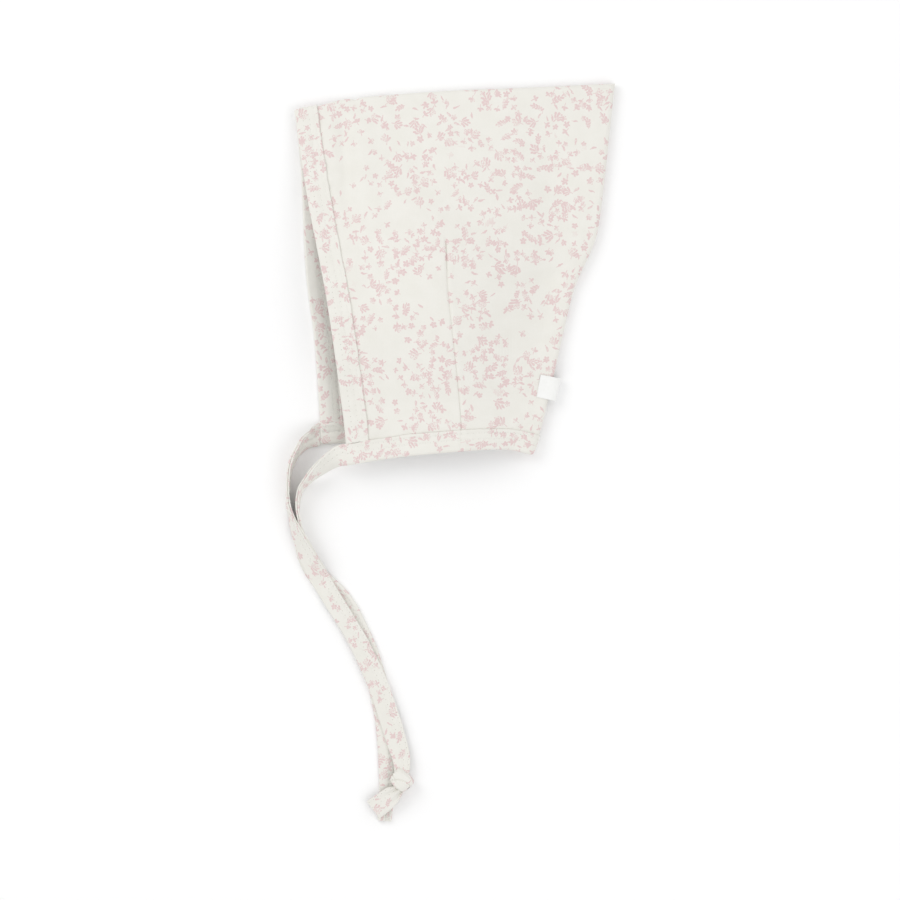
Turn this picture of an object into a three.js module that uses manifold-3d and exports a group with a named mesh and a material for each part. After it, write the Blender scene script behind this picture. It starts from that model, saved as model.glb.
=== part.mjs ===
// A baby's pixie bonnet of printed cotton jersey, lying on its left side.
// The crown is one piece of cloth folded along the top, sewn up the back and
// darted at each side of the nape. One binding strip edges the face, another
// edges the neck and runs on as the two ties, and a small folded tag sits on
// the back seam. Millimetres, +X from the face to the back, +Y from the neck
// to the fold, +Z up from the surface that it lies on.
import * as THREE from 'three';
import { mergeVertices } from 'three/addons/utils/BufferGeometryUtils.js';
import Module from 'manifold-3d';

const wasm = await Module();
wasm.setup();

// Outline of the folded bonnet
const FOLD_LENGTH = 160;      // top fold, from the brow to the peak
const PEAK_RISE = 13.5;       // how far the peak stands above the brow
const FACE_DEPTH = 177.5;     // from the brow down to the upper throat corner
const FACE_SLANT = 26;        // how far that corner lies behind the brow
const NECK_LENGTH = 93;       // from the upper throat corner back to the nape
const NAPE_RISE = 5.5;        // how far the nape stands above that corner
const LOWER_SIDE_LEAD = 13;   // how far the lower side's throat lies in front
const LOWER_SIDE_LIFT = 10.5; // and how far up, because the sides lie askew

// Cloth, bindings and the clearance between them
const WALL = 1;
const CLEARANCE = 0.3;
const LEAF = 1;
const FACE_BAND_WIDTH = 11.5;
const NECK_BAND_WIDTH = 10.75;
const FOLD_RADIUS = 2.2;      // from the roll's centre to the middle of the cloth

// How far the upper side stands off the lower side
const FACE_GAPE = 12;
const THROAT_GAPE = 5;
const NECK_GAPE = 9;
const CROWN_LOFT = 9;
const FACE_GAPE_PLACE = 0.4;  // share of the way up at which the face gapes most
const NECK_GAPE_PLACE = 0.5;  // and of the way back at which the neck does
const SETTLE_RUN = 14;        // run in which the lower side sinks to the ground

// Dart on each side, as shares of the way back and up
const DART_GROOVE = 0.8;
const DART = { foot: 0.62, apex: 0.46, height: 0.6, line: 0.53, halfWidth: 0.016, fade: 0.9 };

// Ties and knot
const TIE_WIDTH = 10;
const TIE_THICKNESS = 1.8;
const TIE_START_GAP = 1.5;     // from the end of the neck band, which is cut at a slant
const TIE_DROP = 186;         // how far the ties reach below the throat
const KNOT_LENGTH = 9;
const KNOT_SPAN = 12;
const KNOT_HEIGHT = 7.5;
const KNOT_HEADING = new THREE.Vector3(-0.5, -0.85, 0);

// Tag on the back seam
const TAG_HEIGHT = 11.5;
const TAG_COVER = 5.5;        // how far it reaches over the cloth from the roll
const TAG_STAND = 2.5;        // how far its fold stands out behind the seam
const TAG_ABOVE_NAPE = 33;

// Facets
const CELLS_BACK = 18;
const CELLS_UP = 22;
const ROLL_CELLS = 4;
const BEND_CELLS = 4;
const TIE_CELLS = 56;
const TAIL_CELLS = 8;
const KNOT_SIDES = 12;
const TAG_CELLS = 3;
const CLOSEST = 0.4;          // of a cell, nearest that two grid lines may lie
const NORMAL_STEP = 0.004;    // share over which a slope of the cloth is taken
const LENGTH_STEP = 0.1;      // share over which a length of the cloth is taken
const SAME_PLACE = 1e-4;      // corners nearer than this are one

// Edges of the cloth. A row says how far the edge bows to the left of the
// straight line between its ends, both as shares of that line's length.
const FOLD_ROWS = [
  { at: 0, bow: 0 },
  { at: 0.08, bow: 0.012 },
  { at: 0.18, bow: 0.025 },
  { at: 0.48, bow: 0.022 },
  { at: 0.75, bow: 0.01 },
  { at: 1, bow: 0 },
];
const BACK_ROWS = [
  { at: 0, bow: 0 },
  { at: 0.09, bow: -0.011 },
  { at: 0.4, bow: -0.012 },
  { at: 0.48, bow: -0.018 },
  { at: 0.575, bow: -0.038 },
  { at: 0.64, bow: -0.04 },
  { at: 0.8, bow: -0.024 },
  { at: 1, bow: 0 },
];
const UPPER_FACE_ROWS = [
  { at: 0, bow: 0 },
  { at: 0.14, bow: -0.009 },
  { at: 0.46, bow: -0.012 },
  { at: 0.76, bow: 0 },
  { at: 1, bow: 0 },
];
const LOWER_FACE_ROWS = [
  { at: 0, bow: 0 },
  { at: 0.3, bow: -0.004 },
  { at: 0.52, bow: 0.006 },
  { at: 0.82, bow: -0.003 },
  { at: 1, bow: 0 },
];
const NECK_ROWS = [
  { at: 0, bow: 0 },
  { at: 0.25, bow: 0.024 },
  { at: 0.55, bow: 0.035 },
  { at: 0.8, bow: 0.036 },
  { at: 0.92, bow: 0.024 },
  { at: 1, bow: 0 },
];

// Soft dents and folds of the upper side: back and up are shares of the way
// across it, reach and run the half length and half width as shares of the
// fold's length, lean the turn of the long way from +X in degrees, and deep
// the depth as a share of the face gape, below nought for a ridge.
const DENTS = [
  { name: 'fold behind the face band', back: 0.15, up: 0.86, reach: 0.22, run: 0.03, lean: 96, deep: 0.16 },
  { name: 'ridge beside it', back: 0.21, up: 0.84, reach: 0.24, run: 0.04, lean: 100, deep: -0.1 },
  { name: 'slant across the crown', back: 0.56, up: 0.7, reach: 0.2, run: 0.06, lean: -38, deep: 0.18 },
  { name: 'hollow below the peak', back: 0.87, up: 0.72, reach: 0.3, run: 0.07, lean: 88, deep: 0.12 },
  { name: 'crease at the bend', back: 0.9, up: 0.47, reach: 0.1, run: 0.03, lean: 4, deep: 0.1 },
  { name: 'hollow over the neck', back: 0.14, up: 0.1, reach: 0.1, run: 0.05, lean: 20, deep: 0.1 },
];

// The dents die out over this run beside the rolls and clear of the bindings
const DENT_FADE = { clear: 0.08, run: 0.08 };

// Routes of the ties, from where the neck band ends. across and down are
// shares of the drop, turn the degrees by which the strip is turned over to
// its left, seen along its way, level the layer that it lies in, hang the
// share that is left of the height at which it leaves the band, and wide the
// share of its width that is not folded under. Each tie stands on edge at its
// bend and turns over once.
const UPPER_TIE_ROWS = [
  { across: 0, down: 0, turn: 0, level: 0, hang: 1, wide: 1 },
  { across: -0.032, down: 0.01, turn: 0, level: 0, hang: 0.92, wide: 1 },
  { across: -0.077, down: 0.058, turn: 16, level: 0, hang: 0.55, wide: 1 },
  { across: -0.107, down: 0.097, turn: 52, level: 0, hang: 0.2, wide: 1 },
  { across: -0.121, down: 0.138, turn: 84, level: 0, hang: 0, wide: 1 },
  { across: -0.122, down: 0.178, turn: 102, level: 0, hang: 0, wide: 1 },
  { across: -0.112, down: 0.218, turn: 122, level: 0, hang: 0, wide: 1 },
  { across: -0.098, down: 0.254, turn: 152, level: 0, hang: 0, wide: 1 },
  { across: -0.081, down: 0.289, turn: 176, level: 0, hang: 0, wide: 1 },
  { across: -0.06, down: 0.321, turn: 180, level: 0, hang: 0, wide: 1 },
  { across: 0.008, down: 0.423, turn: 180, level: 0, hang: 0, wide: 1 },
  { across: 0.06, down: 0.525, turn: 180, level: 0, hang: 0, wide: 1 },
  { across: 0.094, down: 0.64, turn: 180, level: 0, hang: 0, wide: 1 },
  { across: 0.117, down: 0.802, turn: 180, level: 0, hang: 0, wide: 1 },
  { across: 0.118, down: 0.905, turn: 180, level: 0, hang: 0, wide: 0.85 },
  { across: 0.107, down: 0.99, turn: 180, level: 0, hang: 0, wide: 0.65 },
];
const LOWER_TIE_ROWS = [
  { across: 0, down: 0, turn: 0, level: 0, hang: 1, wide: 0.9 },
  { across: -0.026, down: 0.004, turn: 10, level: 0, hang: 0.6, wide: 0.9 },
  { across: -0.046, down: 0.034, turn: 42, level: 0, hang: 0.2, wide: 1 },
  { across: -0.072, down: 0.084, turn: 80, level: 0, hang: 0, wide: 1 },
  { across: -0.082, down: 0.145, turn: 90, level: 0, hang: 0, wide: 1 },
  { across: -0.08, down: 0.194, turn: 94, level: 0, hang: 0, wide: 1 },
  { across: -0.073, down: 0.231, turn: 104, level: 0.3, hang: 0, wide: 1 },
  { across: -0.063, down: 0.263, turn: 120, level: 0.9, hang: 0, wide: 1 },
  { across: -0.049, down: 0.293, turn: 138, level: 1.2, hang: 0, wide: 1 },
  { across: -0.033, down: 0.325, turn: 160, level: 1.2, hang: 0, wide: 1 },
  { across: -0.014, down: 0.357, turn: 178, level: 1.05, hang: 0, wide: 0.95 },
  { across: 0.048, down: 0.457, turn: 180, level: 1, hang: 0, wide: 0.95 },
  { across: 0.107, down: 0.564, turn: 180, level: 1, hang: 0, wide: 1 },
  { across: 0.15, down: 0.661, turn: 180, level: 1, hang: 0, wide: 1 },
  { across: 0.19, down: 0.769, turn: 180, level: 1, hang: 0, wide: 0.95 },
  { across: 0.219, down: 0.859, turn: 180, level: 1.2, hang: 0, wide: 0.95 },
  { across: 0.225, down: 0.93, turn: 180, level: 1.8, hang: 0, wide: 0.9 },
];
const TAIL_ROWS = [
  { across: 0.222, down: 0.945, turn: 0, level: 2, hang: 0, wide: 0.9 },
  { across: 0.195, down: 0.967, turn: 4, level: 1.5, hang: 0, wide: 1 },
  { across: 0.149, down: 1.01, turn: 0, level: 1, hang: 0, wide: 1 },
];

// Distances worked out from the sizes above
const NEAR_LEAF = WALL / 2 + CLEARANCE;
const FAR_LEAF = NEAR_LEAF + LEAF;
const ROLL_INSET = FOLD_RADIUS + WALL / 2;
const GROUND_STEP = CLEARANCE + LEAF;
const UP = new THREE.Vector3(0, 0, 1);

const smooth = (share) => THREE.MathUtils.smoothstep(share, 0, 1);
const hump = (share) => 16 * (share * (1 - share)) ** 2;

// Corners of the cloth inside its rolls and bindings
const brow = new THREE.Vector2(FAR_LEAF, -ROLL_INSET);
const peak = new THREE.Vector2(FOLD_LENGTH - ROLL_INSET, PEAK_RISE - ROLL_INSET);
const nape = new THREE.Vector2(
  FACE_SLANT + NECK_LENGTH - ROLL_INSET,
  NAPE_RISE - FACE_DEPTH + FAR_LEAF,
);
const upperThroat = new THREE.Vector2(FACE_SLANT + FAR_LEAF, FAR_LEAF - FACE_DEPTH);
const lowerThroat = upperThroat.clone().add(new THREE.Vector2(-LOWER_SIDE_LEAD, LOWER_SIDE_LIFT));

function edge(start, end, rows) {
  const along = end.clone().sub(start);
  const left = new THREE.Vector2(-along.y, along.x);
  return new THREE.SplineCurve(rows.map(({ at, bow }) => (
    start.clone().addScaledVector(along, at).addScaledVector(left, bow)
  )));
}

const foldEdge = edge(brow, peak, FOLD_ROWS);
const backEdge = edge(nape, peak, BACK_ROWS);
const SIDES = {
  upper: {
    face: edge(upperThroat, brow, UPPER_FACE_ROWS),
    neck: edge(upperThroat, nape, NECK_ROWS),
    throat: upperThroat,
  },
  lower: {
    face: edge(lowerThroat, brow, LOWER_FACE_ROWS),
    neck: edge(lowerThroat, nape, NECK_ROWS),
    throat: lowerThroat,
  },
};

// Where the dart's line crosses the cloth at this height
function dartShift(back, up) {
  const line = THREE.MathUtils.lerp(DART.foot, DART.apex, up / DART.height) - DART.line;
  const reach = back * (1 - back) / (DART.line * (1 - DART.line));
  return line * reach * (1 - smooth((up - DART.height) / (1 - DART.height)));
}

// Place on the ground plan: a patch spanned by a side's four edges
function plan(side, back, up) {
  const { face, neck, throat } = SIDES[side];
  const across = back + dartShift(back, up);
  const point = new THREE.Vector2();
  point.addScaledVector(foldEdge.getPointAt(across), up);
  point.addScaledVector(neck.getPointAt(across), 1 - up);
  point.addScaledVector(backEdge.getPointAt(up), across);
  point.addScaledVector(face.getPointAt(up), 1 - across);
  point.addScaledVector(brow, -up * (1 - across));
  point.addScaledVector(peak, -up * across);
  point.addScaledVector(nape, -(1 - up) * across);
  point.addScaledVector(throat, -(1 - up) * (1 - across));
  return point;
}

// Height of the lower side: flat on the ground, and a binding's leaf higher
// where a binding or the tag wraps under it
function groundHeight(back, up) {
  const here = plan('lower', back, up);
  const beyond = (distance) => 1 - smooth((distance - FACE_BAND_WIDTH) / SETTLE_RUN);
  const fromTag = here.distanceTo(backEdge.getPointAt(tagShare(0)));
  const lifted = Math.max(
    beyond(here.distanceTo(plan('lower', 0, up))),
    beyond(here.distanceTo(plan('lower', back, 0))),
    beyond(fromTag),
  );
  return WALL / 2 + GROUND_STEP * lifted;
}

function dartGroove(back, up) {
  const across = Math.max(0, 1 - Math.abs(back - DART.line) / DART.halfWidth);
  const fade = 1 - smooth((up / DART.height - DART.fade) / (1 - DART.fade));
  return DART_GROOVE * across * fade;
}

function dents(back, up) {
  const here = plan('upper', back, up);
  let depth = 0;
  for (const dent of DENTS) {
    const offset = here.clone().sub(plan('upper', dent.back, dent.up));
    offset.rotateAround(new THREE.Vector2(), -THREE.MathUtils.degToRad(dent.lean));
    const along = offset.x / (dent.reach * FOLD_LENGTH);
    const across = offset.y / (dent.run * FOLD_LENGTH);
    depth += FACE_GAPE * dent.deep * Math.exp(-along * along - across * across);
  }
  const { clear, run } = DENT_FADE;
  const edges = smooth((1 - back) / run) * smooth((1 - up) / run);
  return depth * edges * smooth((back - clear) / run) * smooth((up - clear) / run);
}

// Gape along an open edge: the throat's, then widest at its place, then none
function gape(widest, place, share) {
  return THREE.MathUtils.lerp(THROAT_GAPE, widest, smooth(share / place))
    * (1 - smooth((share - place) / (1 - place)));
}

// How far the upper side stands above a flat roll: open along the face and
// the neck, closed to the fold and the back seam, and puffed over the dart
function loft(back, up) {
  const nearFace = 1 - smooth(back);
  const nearNeck = 1 - smooth(up);
  return gape(FACE_GAPE, FACE_GAPE_PLACE, up) * nearFace
    + gape(NECK_GAPE, NECK_GAPE_PLACE, back) * nearNeck
    - THROAT_GAPE * nearFace * nearNeck
    + CROWN_LOFT * hump(back) * hump(up);
}

function clothHeight(side, back, up) {
  const ground = groundHeight(back, up);
  if (side === 'lower') {
    return ground + dartGroove(back, up);
  }
  return ground + 2 * FOLD_RADIUS + loft(back, up) - dents(back, up) - dartGroove(back, up);
}

function clothPoint(side, back, up) {
  const here = plan(side, back, up);
  return new THREE.Vector3(here.x, here.y, clothHeight(side, back, up));
}

function clothNormal(side, back, up) {
  const forward = clothPoint(side, Math.min(back + NORMAL_STEP, 1), up)
    .sub(clothPoint(side, Math.max(back - NORMAL_STEP, 0), up));
  const upward = clothPoint(side, back, Math.min(up + NORMAL_STEP, 1))
    .sub(clothPoint(side, back, Math.max(up - NORMAL_STEP, 0)));
  const normal = forward.cross(upward).normalize();
  return side === 'lower' ? normal.negate() : normal;
}

// Outward direction of the roll that joins the sides, mitred at the peak
function rollDirection(back, up) {
  const outwards = [];
  if (up === 1) {
    const tangent = foldEdge.getTangentAt(back);
    outwards.push(new THREE.Vector2(-tangent.y, tangent.x));
  }
  if (back === 1) {
    const tangent = backEdge.getTangentAt(up);
    outwards.push(new THREE.Vector2(tangent.y, -tangent.x));
  }
  const sum = outwards[0].clone();
  if (outwards.length === 2) {
    sum.add(outwards[1]).divideScalar(1 + outwards[0].dot(outwards[1]));
  }
  return new THREE.Vector3(sum.x, sum.y, 0);
}

// A point of the doubled cloth, offset outwards from its middle. A spot on
// the roll has a turn, 0 at the upper side and PI at the lower. Past the
// face or the neck edge the cloth is carried on by its mirror image.
function skin(spot, offset) {
  for (const way of ['back', 'up']) {
    if (spot[way] < 0) {
      const onEdge = skin({ ...spot, [way]: 0 }, offset);
      const inside = skin({ ...spot, [way]: -spot[way] }, offset);
      return onEdge.multiplyScalar(2).sub(inside);
    }
  }
  const { side, back, up } = spot;
  if (side !== 'roll') {
    const onRim = back === 1 || up === 1;
    const rimNormal = UP.clone().multiplyScalar(side === 'lower' ? -1 : 1);
    const normal = onRim ? rimNormal : clothNormal(side, back, up);
    return clothPoint(side, back, up).addScaledVector(normal, offset);
  }
  const centre = clothPoint('lower', back, up);
  centre.z = groundHeight(back, up) + FOLD_RADIUS;
  const radius = FOLD_RADIUS + offset;
  return centre
    .addScaledVector(rollDirection(back, up), radius * Math.sin(spot.turn))
    .addScaledVector(UP, radius * Math.cos(spot.turn));
}

// Length of the cloth inwards from an edge, for a whole share of its way
function lengthFrom(spot, way) {
  const onEdge = skin({ ...spot, [way]: 0 }, 0);
  return onEdge.distanceTo(skin({ ...spot, [way]: LENGTH_STEP }, 0)) / LENGTH_STEP;
}

// Shares from 0 to 1 in even steps, with extra lines put in
function shares(cells, extras = []) {
  const closest = CLOSEST / cells;
  const even = Array.from({ length: cells + 1 }, (_, index) => index / cells);
  const kept = even.filter((share) => extras.every((extra) => Math.abs(extra - share) > closest));
  return [...kept, ...extras].sort((first, second) => first - second);
}

const dartLines = [DART.line - DART.halfWidth, DART.line, DART.line + DART.halfWidth];
const BACK_SHARES = shares(CELLS_BACK, dartLines);
const UP_SHARES = shares(CELLS_UP);
const ROLL_TURNS = shares(ROLL_CELLS).map((share) => share * Math.PI);

// A solid from rows of points: each pair of rows is joined by quads
function addPatch(corners, rows, flip = false) {
  for (let row = 0; row + 1 < rows.length; row += 1) {
    for (let column = 0; column + 1 < rows[row].length; column += 1) {
      const quad = [
        rows[row][column],
        rows[row][column + 1],
        rows[row + 1][column + 1],
        rows[row + 1][column],
      ];
      if (flip) {
        quad.reverse();
      }
      corners.push(quad[0], quad[1], quad[2], quad[0], quad[2], quad[3]);
    }
  }
}

function solidGeometry(corners) {
  const geometry = new THREE.BufferGeometry().setFromPoints(corners);
  const merged = mergeVertices(geometry, SAME_PLACE);
  merged.computeVertexNormals();
  return merged;
}

// Crown: both sides and the roll between them, as an outer and an inner skin
// joined along the face and neck edges
function crownGeometry() {
  const corners = [];
  const layers = { outer: WALL / 2, inner: -WALL / 2 };
  for (const [name, offset] of Object.entries(layers)) {
    const inner = name === 'inner';
    const sheet = (side) => UP_SHARES.map((up) => (
      BACK_SHARES.map((back) => skin({ side, back, up }, offset))
    ));
    const rollAlong = (spots) => spots.map((spot) => (
      ROLL_TURNS.map((turn) => skin({ side: 'roll', turn, ...spot }, offset))
    ));
    addPatch(corners, sheet('upper'), inner);
    addPatch(corners, sheet('lower'), !inner);
    addPatch(corners, rollAlong(BACK_SHARES.map((back) => ({ back, up: 1 }))), !inner);
    addPatch(corners, rollAlong(UP_SHARES.map((up) => ({ back: 1, up }))), inner);
  }
  const innerTurns = ROLL_TURNS.slice(1, -1);
  const faceEdge = [
    ...UP_SHARES.map((up) => ({ side: 'upper', back: 0, up })),
    ...innerTurns.map((turn) => ({ side: 'roll', back: 0, up: 1, turn })),
    ...[...UP_SHARES].reverse().map((up) => ({ side: 'lower', back: 0, up })),
  ];
  const neckEdge = [
    ...BACK_SHARES.map((back) => ({ side: 'upper', back, up: 0 })),
    ...innerTurns.map((turn) => ({ side: 'roll', back: 1, up: 0, turn })),
    ...[...BACK_SHARES].reverse().map((back) => ({ side: 'lower', back, up: 0 })),
  ];
  const rim = (spots) => [WALL / 2, -WALL / 2].map((offset) => spots.map((spot) => skin(spot, offset)));
  addPatch(corners, rim(faceEdge), false);
  addPatch(corners, rim(neckEdge), true);
  return solidGeometry(corners);
}

// Section of a binding: two leaves and the bend between them. in is the
// distance from the cloth's edge, offset the distance from its middle.
function bandSection(width) {
  const turns = shares(BEND_CELLS).map((share) => share * Math.PI);
  const bend = (radius) => turns.map((turn) => (
    { inward: -radius * Math.sin(turn), offset: radius * Math.cos(turn) }
  ));
  const leaf = width - FAR_LEAF;
  const ends = (offset) => [{ inward: leaf, offset }, { inward: leaf / 2, offset }];
  return [
    ...ends(FAR_LEAF),
    ...bend(FAR_LEAF),
    ...ends(-FAR_LEAF).reverse(),
    ...ends(-NEAR_LEAF),
    ...bend(NEAR_LEAF).reverse(),
    ...ends(NEAR_LEAF).reverse(),
  ];
}

// A closed ring of section points swept over stations, with both ends capped
function sweptSolid(rings) {
  const corners = [];
  addPatch(corners, rings.map((ring) => [...ring, ring[0]]));
  const capPairs = (ring) => {
    const half = ring.length / 2;
    return [ring.slice(0, half), ring.slice(half).reverse()];
  };
  addPatch(corners, capPairs(rings[0]), true);
  addPatch(corners, capPairs(rings[rings.length - 1]), false);
  return solidGeometry(corners);
}

// Binding swept along an edge: way is the share that runs inward from it
function bandGeometry(spots, way, width) {
  const rings = spots.map((spot) => {
    const length = lengthFrom(spot, way);
    return bandSection(width).map(({ inward, offset }) => (
      skin({ ...spot, [way]: inward / length }, offset)
    ));
  });
  return sweptSolid(rings.reverse());
}

// Face band: from the upper throat over the fold to the lower throat, between
// the upper edges of the neck band
function faceBandGeometry() {
  const foot = (side) => (
    (NECK_BAND_WIDTH - FAR_LEAF + CLEARANCE) / lengthFrom({ side, back: 0 }, 'up')
  );
  const rise = (side) => [
    foot(side),
    ...UP_SHARES.filter((up) => up > foot(side) + CLOSEST / CELLS_UP && up < 1),
  ];
  const spots = [
    ...rise('upper').map((up) => ({ side: 'upper', up })),
    ...ROLL_TURNS.map((turn) => ({ side: 'roll', up: 1, turn })),
    ...rise('lower').reverse().map((up) => ({ side: 'lower', up })),
  ];
  return bandGeometry(spots, 'back', FACE_BAND_WIDTH);
}

// Share by which the neck band runs on past the face edge of a side
function throatShare(side) {
  return FAR_LEAF / lengthFrom({ side, up: 0 }, 'back');
}

// Neck band: from the upper throat round the nape to the lower throat
function neckBandGeometry() {
  const run = (side) => [-throatShare(side), ...BACK_SHARES.filter((back) => back < 1)];
  const spots = [
    ...run('lower').map((back) => ({ side: 'lower', back })),
    ...[...ROLL_TURNS].reverse().map((turn) => ({ side: 'roll', back: 1, turn })),
    ...run('upper').reverse().map((back) => ({ side: 'upper', back })),
  ];
  return bandGeometry(spots, 'up', NECK_BAND_WIDTH);
}

// Tag: a loop of tape folded over the back seam
function tagShare(fromMiddle) {
  return (TAG_ABOVE_NAPE + fromMiddle) / backEdge.getLength();
}

function tagGeometry() {
  const perShare = 1 - TAG_COVER / (FACE_SLANT + NECK_LENGTH);
  const sides = (side) => [perShare, (1 + perShare) / 2].map((back) => ({ side, back }));
  const loop = [
    ...sides('upper'),
    ...ROLL_TURNS.map((turn) => ({ side: 'roll', back: 1, turn })),
    ...sides('lower').reverse(),
  ];
  const ring = (up) => [FAR_LEAF, NEAR_LEAF].flatMap((offset) => {
    const points = loop.map((spot) => {
      const stand = TAG_STAND * Math.sin(spot.turn ?? 0);
      return skin({ ...spot, up }, offset).addScaledVector(rollDirection(1, up), stand);
    });
    return offset === FAR_LEAF ? points : points.reverse();
  });
  const rings = shares(TAG_CELLS).map((share) => ring(tagShare(TAG_HEIGHT * (share - 0.5))));
  return sweptSolid(rings);
}

// Value of a route's column, eased from row to row
function eased(rows, column, share) {
  const place = share * (rows.length - 1);
  const row = Math.min(Math.floor(place), rows.length - 2);
  return THREE.MathUtils.lerp(rows[row][column], rows[row + 1][column], smooth(place - row));
}

// Flat strip along a route, resting on the ground or in the layer above it
function stripRings(start, rows, cells) {
  const route = new THREE.CatmullRomCurve3(rows.map(({ across, down }) => (
    new THREE.Vector3(start.x + across * TIE_DROP, start.y - down * TIE_DROP, 0)
  )));
  const thick = TIE_THICKNESS / 2;
  return shares(cells).map((share) => {
    const half = TIE_WIDTH / 2 * eased(rows, 'wide', share);
    const section = [
      [half, 0], [half - thick, thick], [thick - half, thick],
      [-half, 0], [thick - half, -thick], [half - thick, -thick],
    ];
    const turn = THREE.MathUtils.degToRad(eased(rows, 'turn', share));
    const tangent = route.getTangent(share);
    const left = UP.clone().cross(tangent).normalize();
    const resting = (half - thick) * Math.abs(Math.sin(turn)) + thick
      + eased(rows, 'level', share) * (TIE_THICKNESS + CLEARANCE);
    const centre = route.getPoint(share);
    centre.z = resting + eased(rows, 'hang', share) * (start.z - thick);
    const wide = left.clone().multiplyScalar(Math.cos(turn)).addScaledVector(UP, -Math.sin(turn));
    const facing = tangent.clone().cross(wide).negate();
    return section.map(([w, t]) => (
      centre.clone().addScaledVector(wide, w).addScaledVector(facing, -t)
    ));
  });
}

function tieStart(side) {
  const middle = (NECK_BAND_WIDTH / 2 - FAR_LEAF) / lengthFrom({ side, back: 0 }, 'up');
  const front = skin({ side, back: -throatShare(side), up: middle }, 0);
  front.x -= TIE_START_GAP;
  return front;
}

// Knot: the strip taken once round itself, with its squared tail
function knotRings(centre, heading) {
  const along = heading.clone().normalize();
  const sideways = UP.clone().cross(along).normalize();
  const thick = TIE_THICKNESS / 2;
  const ring = (shrink, end) => shares(KNOT_SIDES).slice(0, KNOT_SIDES).map((share) => {
    const angle = share * 2 * Math.PI;
    return centre.clone()
      .addScaledVector(along, end)
      .addScaledVector(sideways, (KNOT_SPAN / 2 - shrink) * Math.cos(angle))
      .addScaledVector(UP, (KNOT_HEIGHT / 2 - shrink) * Math.sin(angle));
  });
  const half = KNOT_LENGTH / 2;
  return [ring(thick, -half), ring(0, thick - half), ring(0, half - thick), ring(thick, half)];
}

function toManifold(geometry) {
  const plain = geometry.clone();
  plain.deleteAttribute('normal');
  const merged = mergeVertices(plain, SAME_PLACE);
  return new wasm.Manifold(new wasm.Mesh({
    numProp: 3,
    vertProperties: new Float32Array(merged.attributes.position.array),
    triVerts: new Uint32Array(merged.index.array),
  }));
}

function joined(geometries) {
  const whole = geometries.map(toManifold).reduce((first, second) => first.add(second));
  const { vertProperties, triVerts } = whole.getMesh();
  const geometry = new THREE.BufferGeometry();
  geometry.setAttribute('position', new THREE.BufferAttribute(vertProperties, 3));
  geometry.setIndex(new THREE.BufferAttribute(triVerts, 1));
  geometry.computeVertexNormals();
  return geometry;
}

function upperTieGeometry() {
  return sweptSolid(stripRings(tieStart('upper'), UPPER_TIE_ROWS, TIE_CELLS));
}

function lowerTieGeometry() {
  const start = tieStart('lower');
  const strip = stripRings(start, LOWER_TIE_ROWS, TIE_CELLS);
  const tail = stripRings(start, TAIL_ROWS, TAIL_CELLS);
  const last = LOWER_TIE_ROWS[LOWER_TIE_ROWS.length - 1];
  const centre = new THREE.Vector3(
    start.x + last.across * TIE_DROP,
    start.y - last.down * TIE_DROP,
    TIE_THICKNESS + CLEARANCE + KNOT_HEIGHT / 2,
  );
  const knot = knotRings(centre, KNOT_HEADING);
  return joined([sweptSolid(strip), sweptSolid(knot), sweptSolid(tail)]);
}

// Finishes
const jersey = new THREE.MeshStandardMaterial({ color: 0xece7e0, roughness: 0.92, metalness: 0 });
const binding = new THREE.MeshStandardMaterial({ color: 0xe8e1da, roughness: 0.9, metalness: 0 });
const tape = new THREE.MeshStandardMaterial({ color: 0xf4f4f1, roughness: 0.6, metalness: 0 });

const pieces = {
  crown: [crownGeometry(), jersey],
  face_band: [faceBandGeometry(), binding],
  neck_band: [neckBandGeometry(), binding],
  near_tie: [upperTieGeometry(), binding],
  far_tie: [lowerTieGeometry(), binding],
  seam_tag: [tagGeometry(), tape],
};

// The bonnet stands on the middle of its outline's foot
const bonnet = new THREE.Group();
for (const [name, [geometry, material]] of Object.entries(pieces)) {
  const mesh = new THREE.Mesh(geometry, material);
  mesh.name = name;
  bonnet.add(mesh);
}
const box = new THREE.Box3().setFromObject(bonnet);
bonnet.position.set(-(box.min.x + box.max.x) / 2, -(box.min.y + box.max.y) / 2, -box.min.z);
bonnet.updateMatrixWorld(true);

export default bonnet;
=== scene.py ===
"""A baby's pixie bonnet of printed cotton jersey, lying on its left side on a pale floor.

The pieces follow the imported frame: +X from the face to the back, +Y from the neck to the
fold, +Z up. Shapes are worked out in millimetres from the corner of the brow and are put
into the frame's metres by one shift."""

import bmesh
import bpy
import numpy as np
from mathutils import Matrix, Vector


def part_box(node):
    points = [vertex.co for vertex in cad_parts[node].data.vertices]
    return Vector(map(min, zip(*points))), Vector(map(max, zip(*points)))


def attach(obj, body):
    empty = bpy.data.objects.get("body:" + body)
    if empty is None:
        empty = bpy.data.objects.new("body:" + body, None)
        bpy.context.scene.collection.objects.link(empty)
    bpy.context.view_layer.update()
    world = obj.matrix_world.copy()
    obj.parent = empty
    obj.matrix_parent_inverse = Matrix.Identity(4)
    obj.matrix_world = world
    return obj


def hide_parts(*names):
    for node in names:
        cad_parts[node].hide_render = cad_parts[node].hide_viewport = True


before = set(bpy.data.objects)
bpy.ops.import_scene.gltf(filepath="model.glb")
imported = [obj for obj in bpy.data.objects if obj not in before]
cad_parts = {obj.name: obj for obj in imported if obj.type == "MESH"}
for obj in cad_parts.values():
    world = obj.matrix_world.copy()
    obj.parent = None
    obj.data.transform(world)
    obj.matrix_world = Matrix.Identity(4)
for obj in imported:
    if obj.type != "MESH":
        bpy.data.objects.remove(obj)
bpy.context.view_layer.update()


# Crown
# One piece of single jersey, folded along the top, sewn up the back and darted at each
# side of the nape. It lies flat on its left side, with the right side puffed over it.
MM = 0.001
FOLD_LENGTH = 160
PEAK_RISE = 13.5
FACE_DEPTH = 177.5
FACE_SLANT = 26
NECK_LENGTH = 93
NAPE_RISE = 5.5
LOWER_SIDE_LEAD = 13
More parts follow.
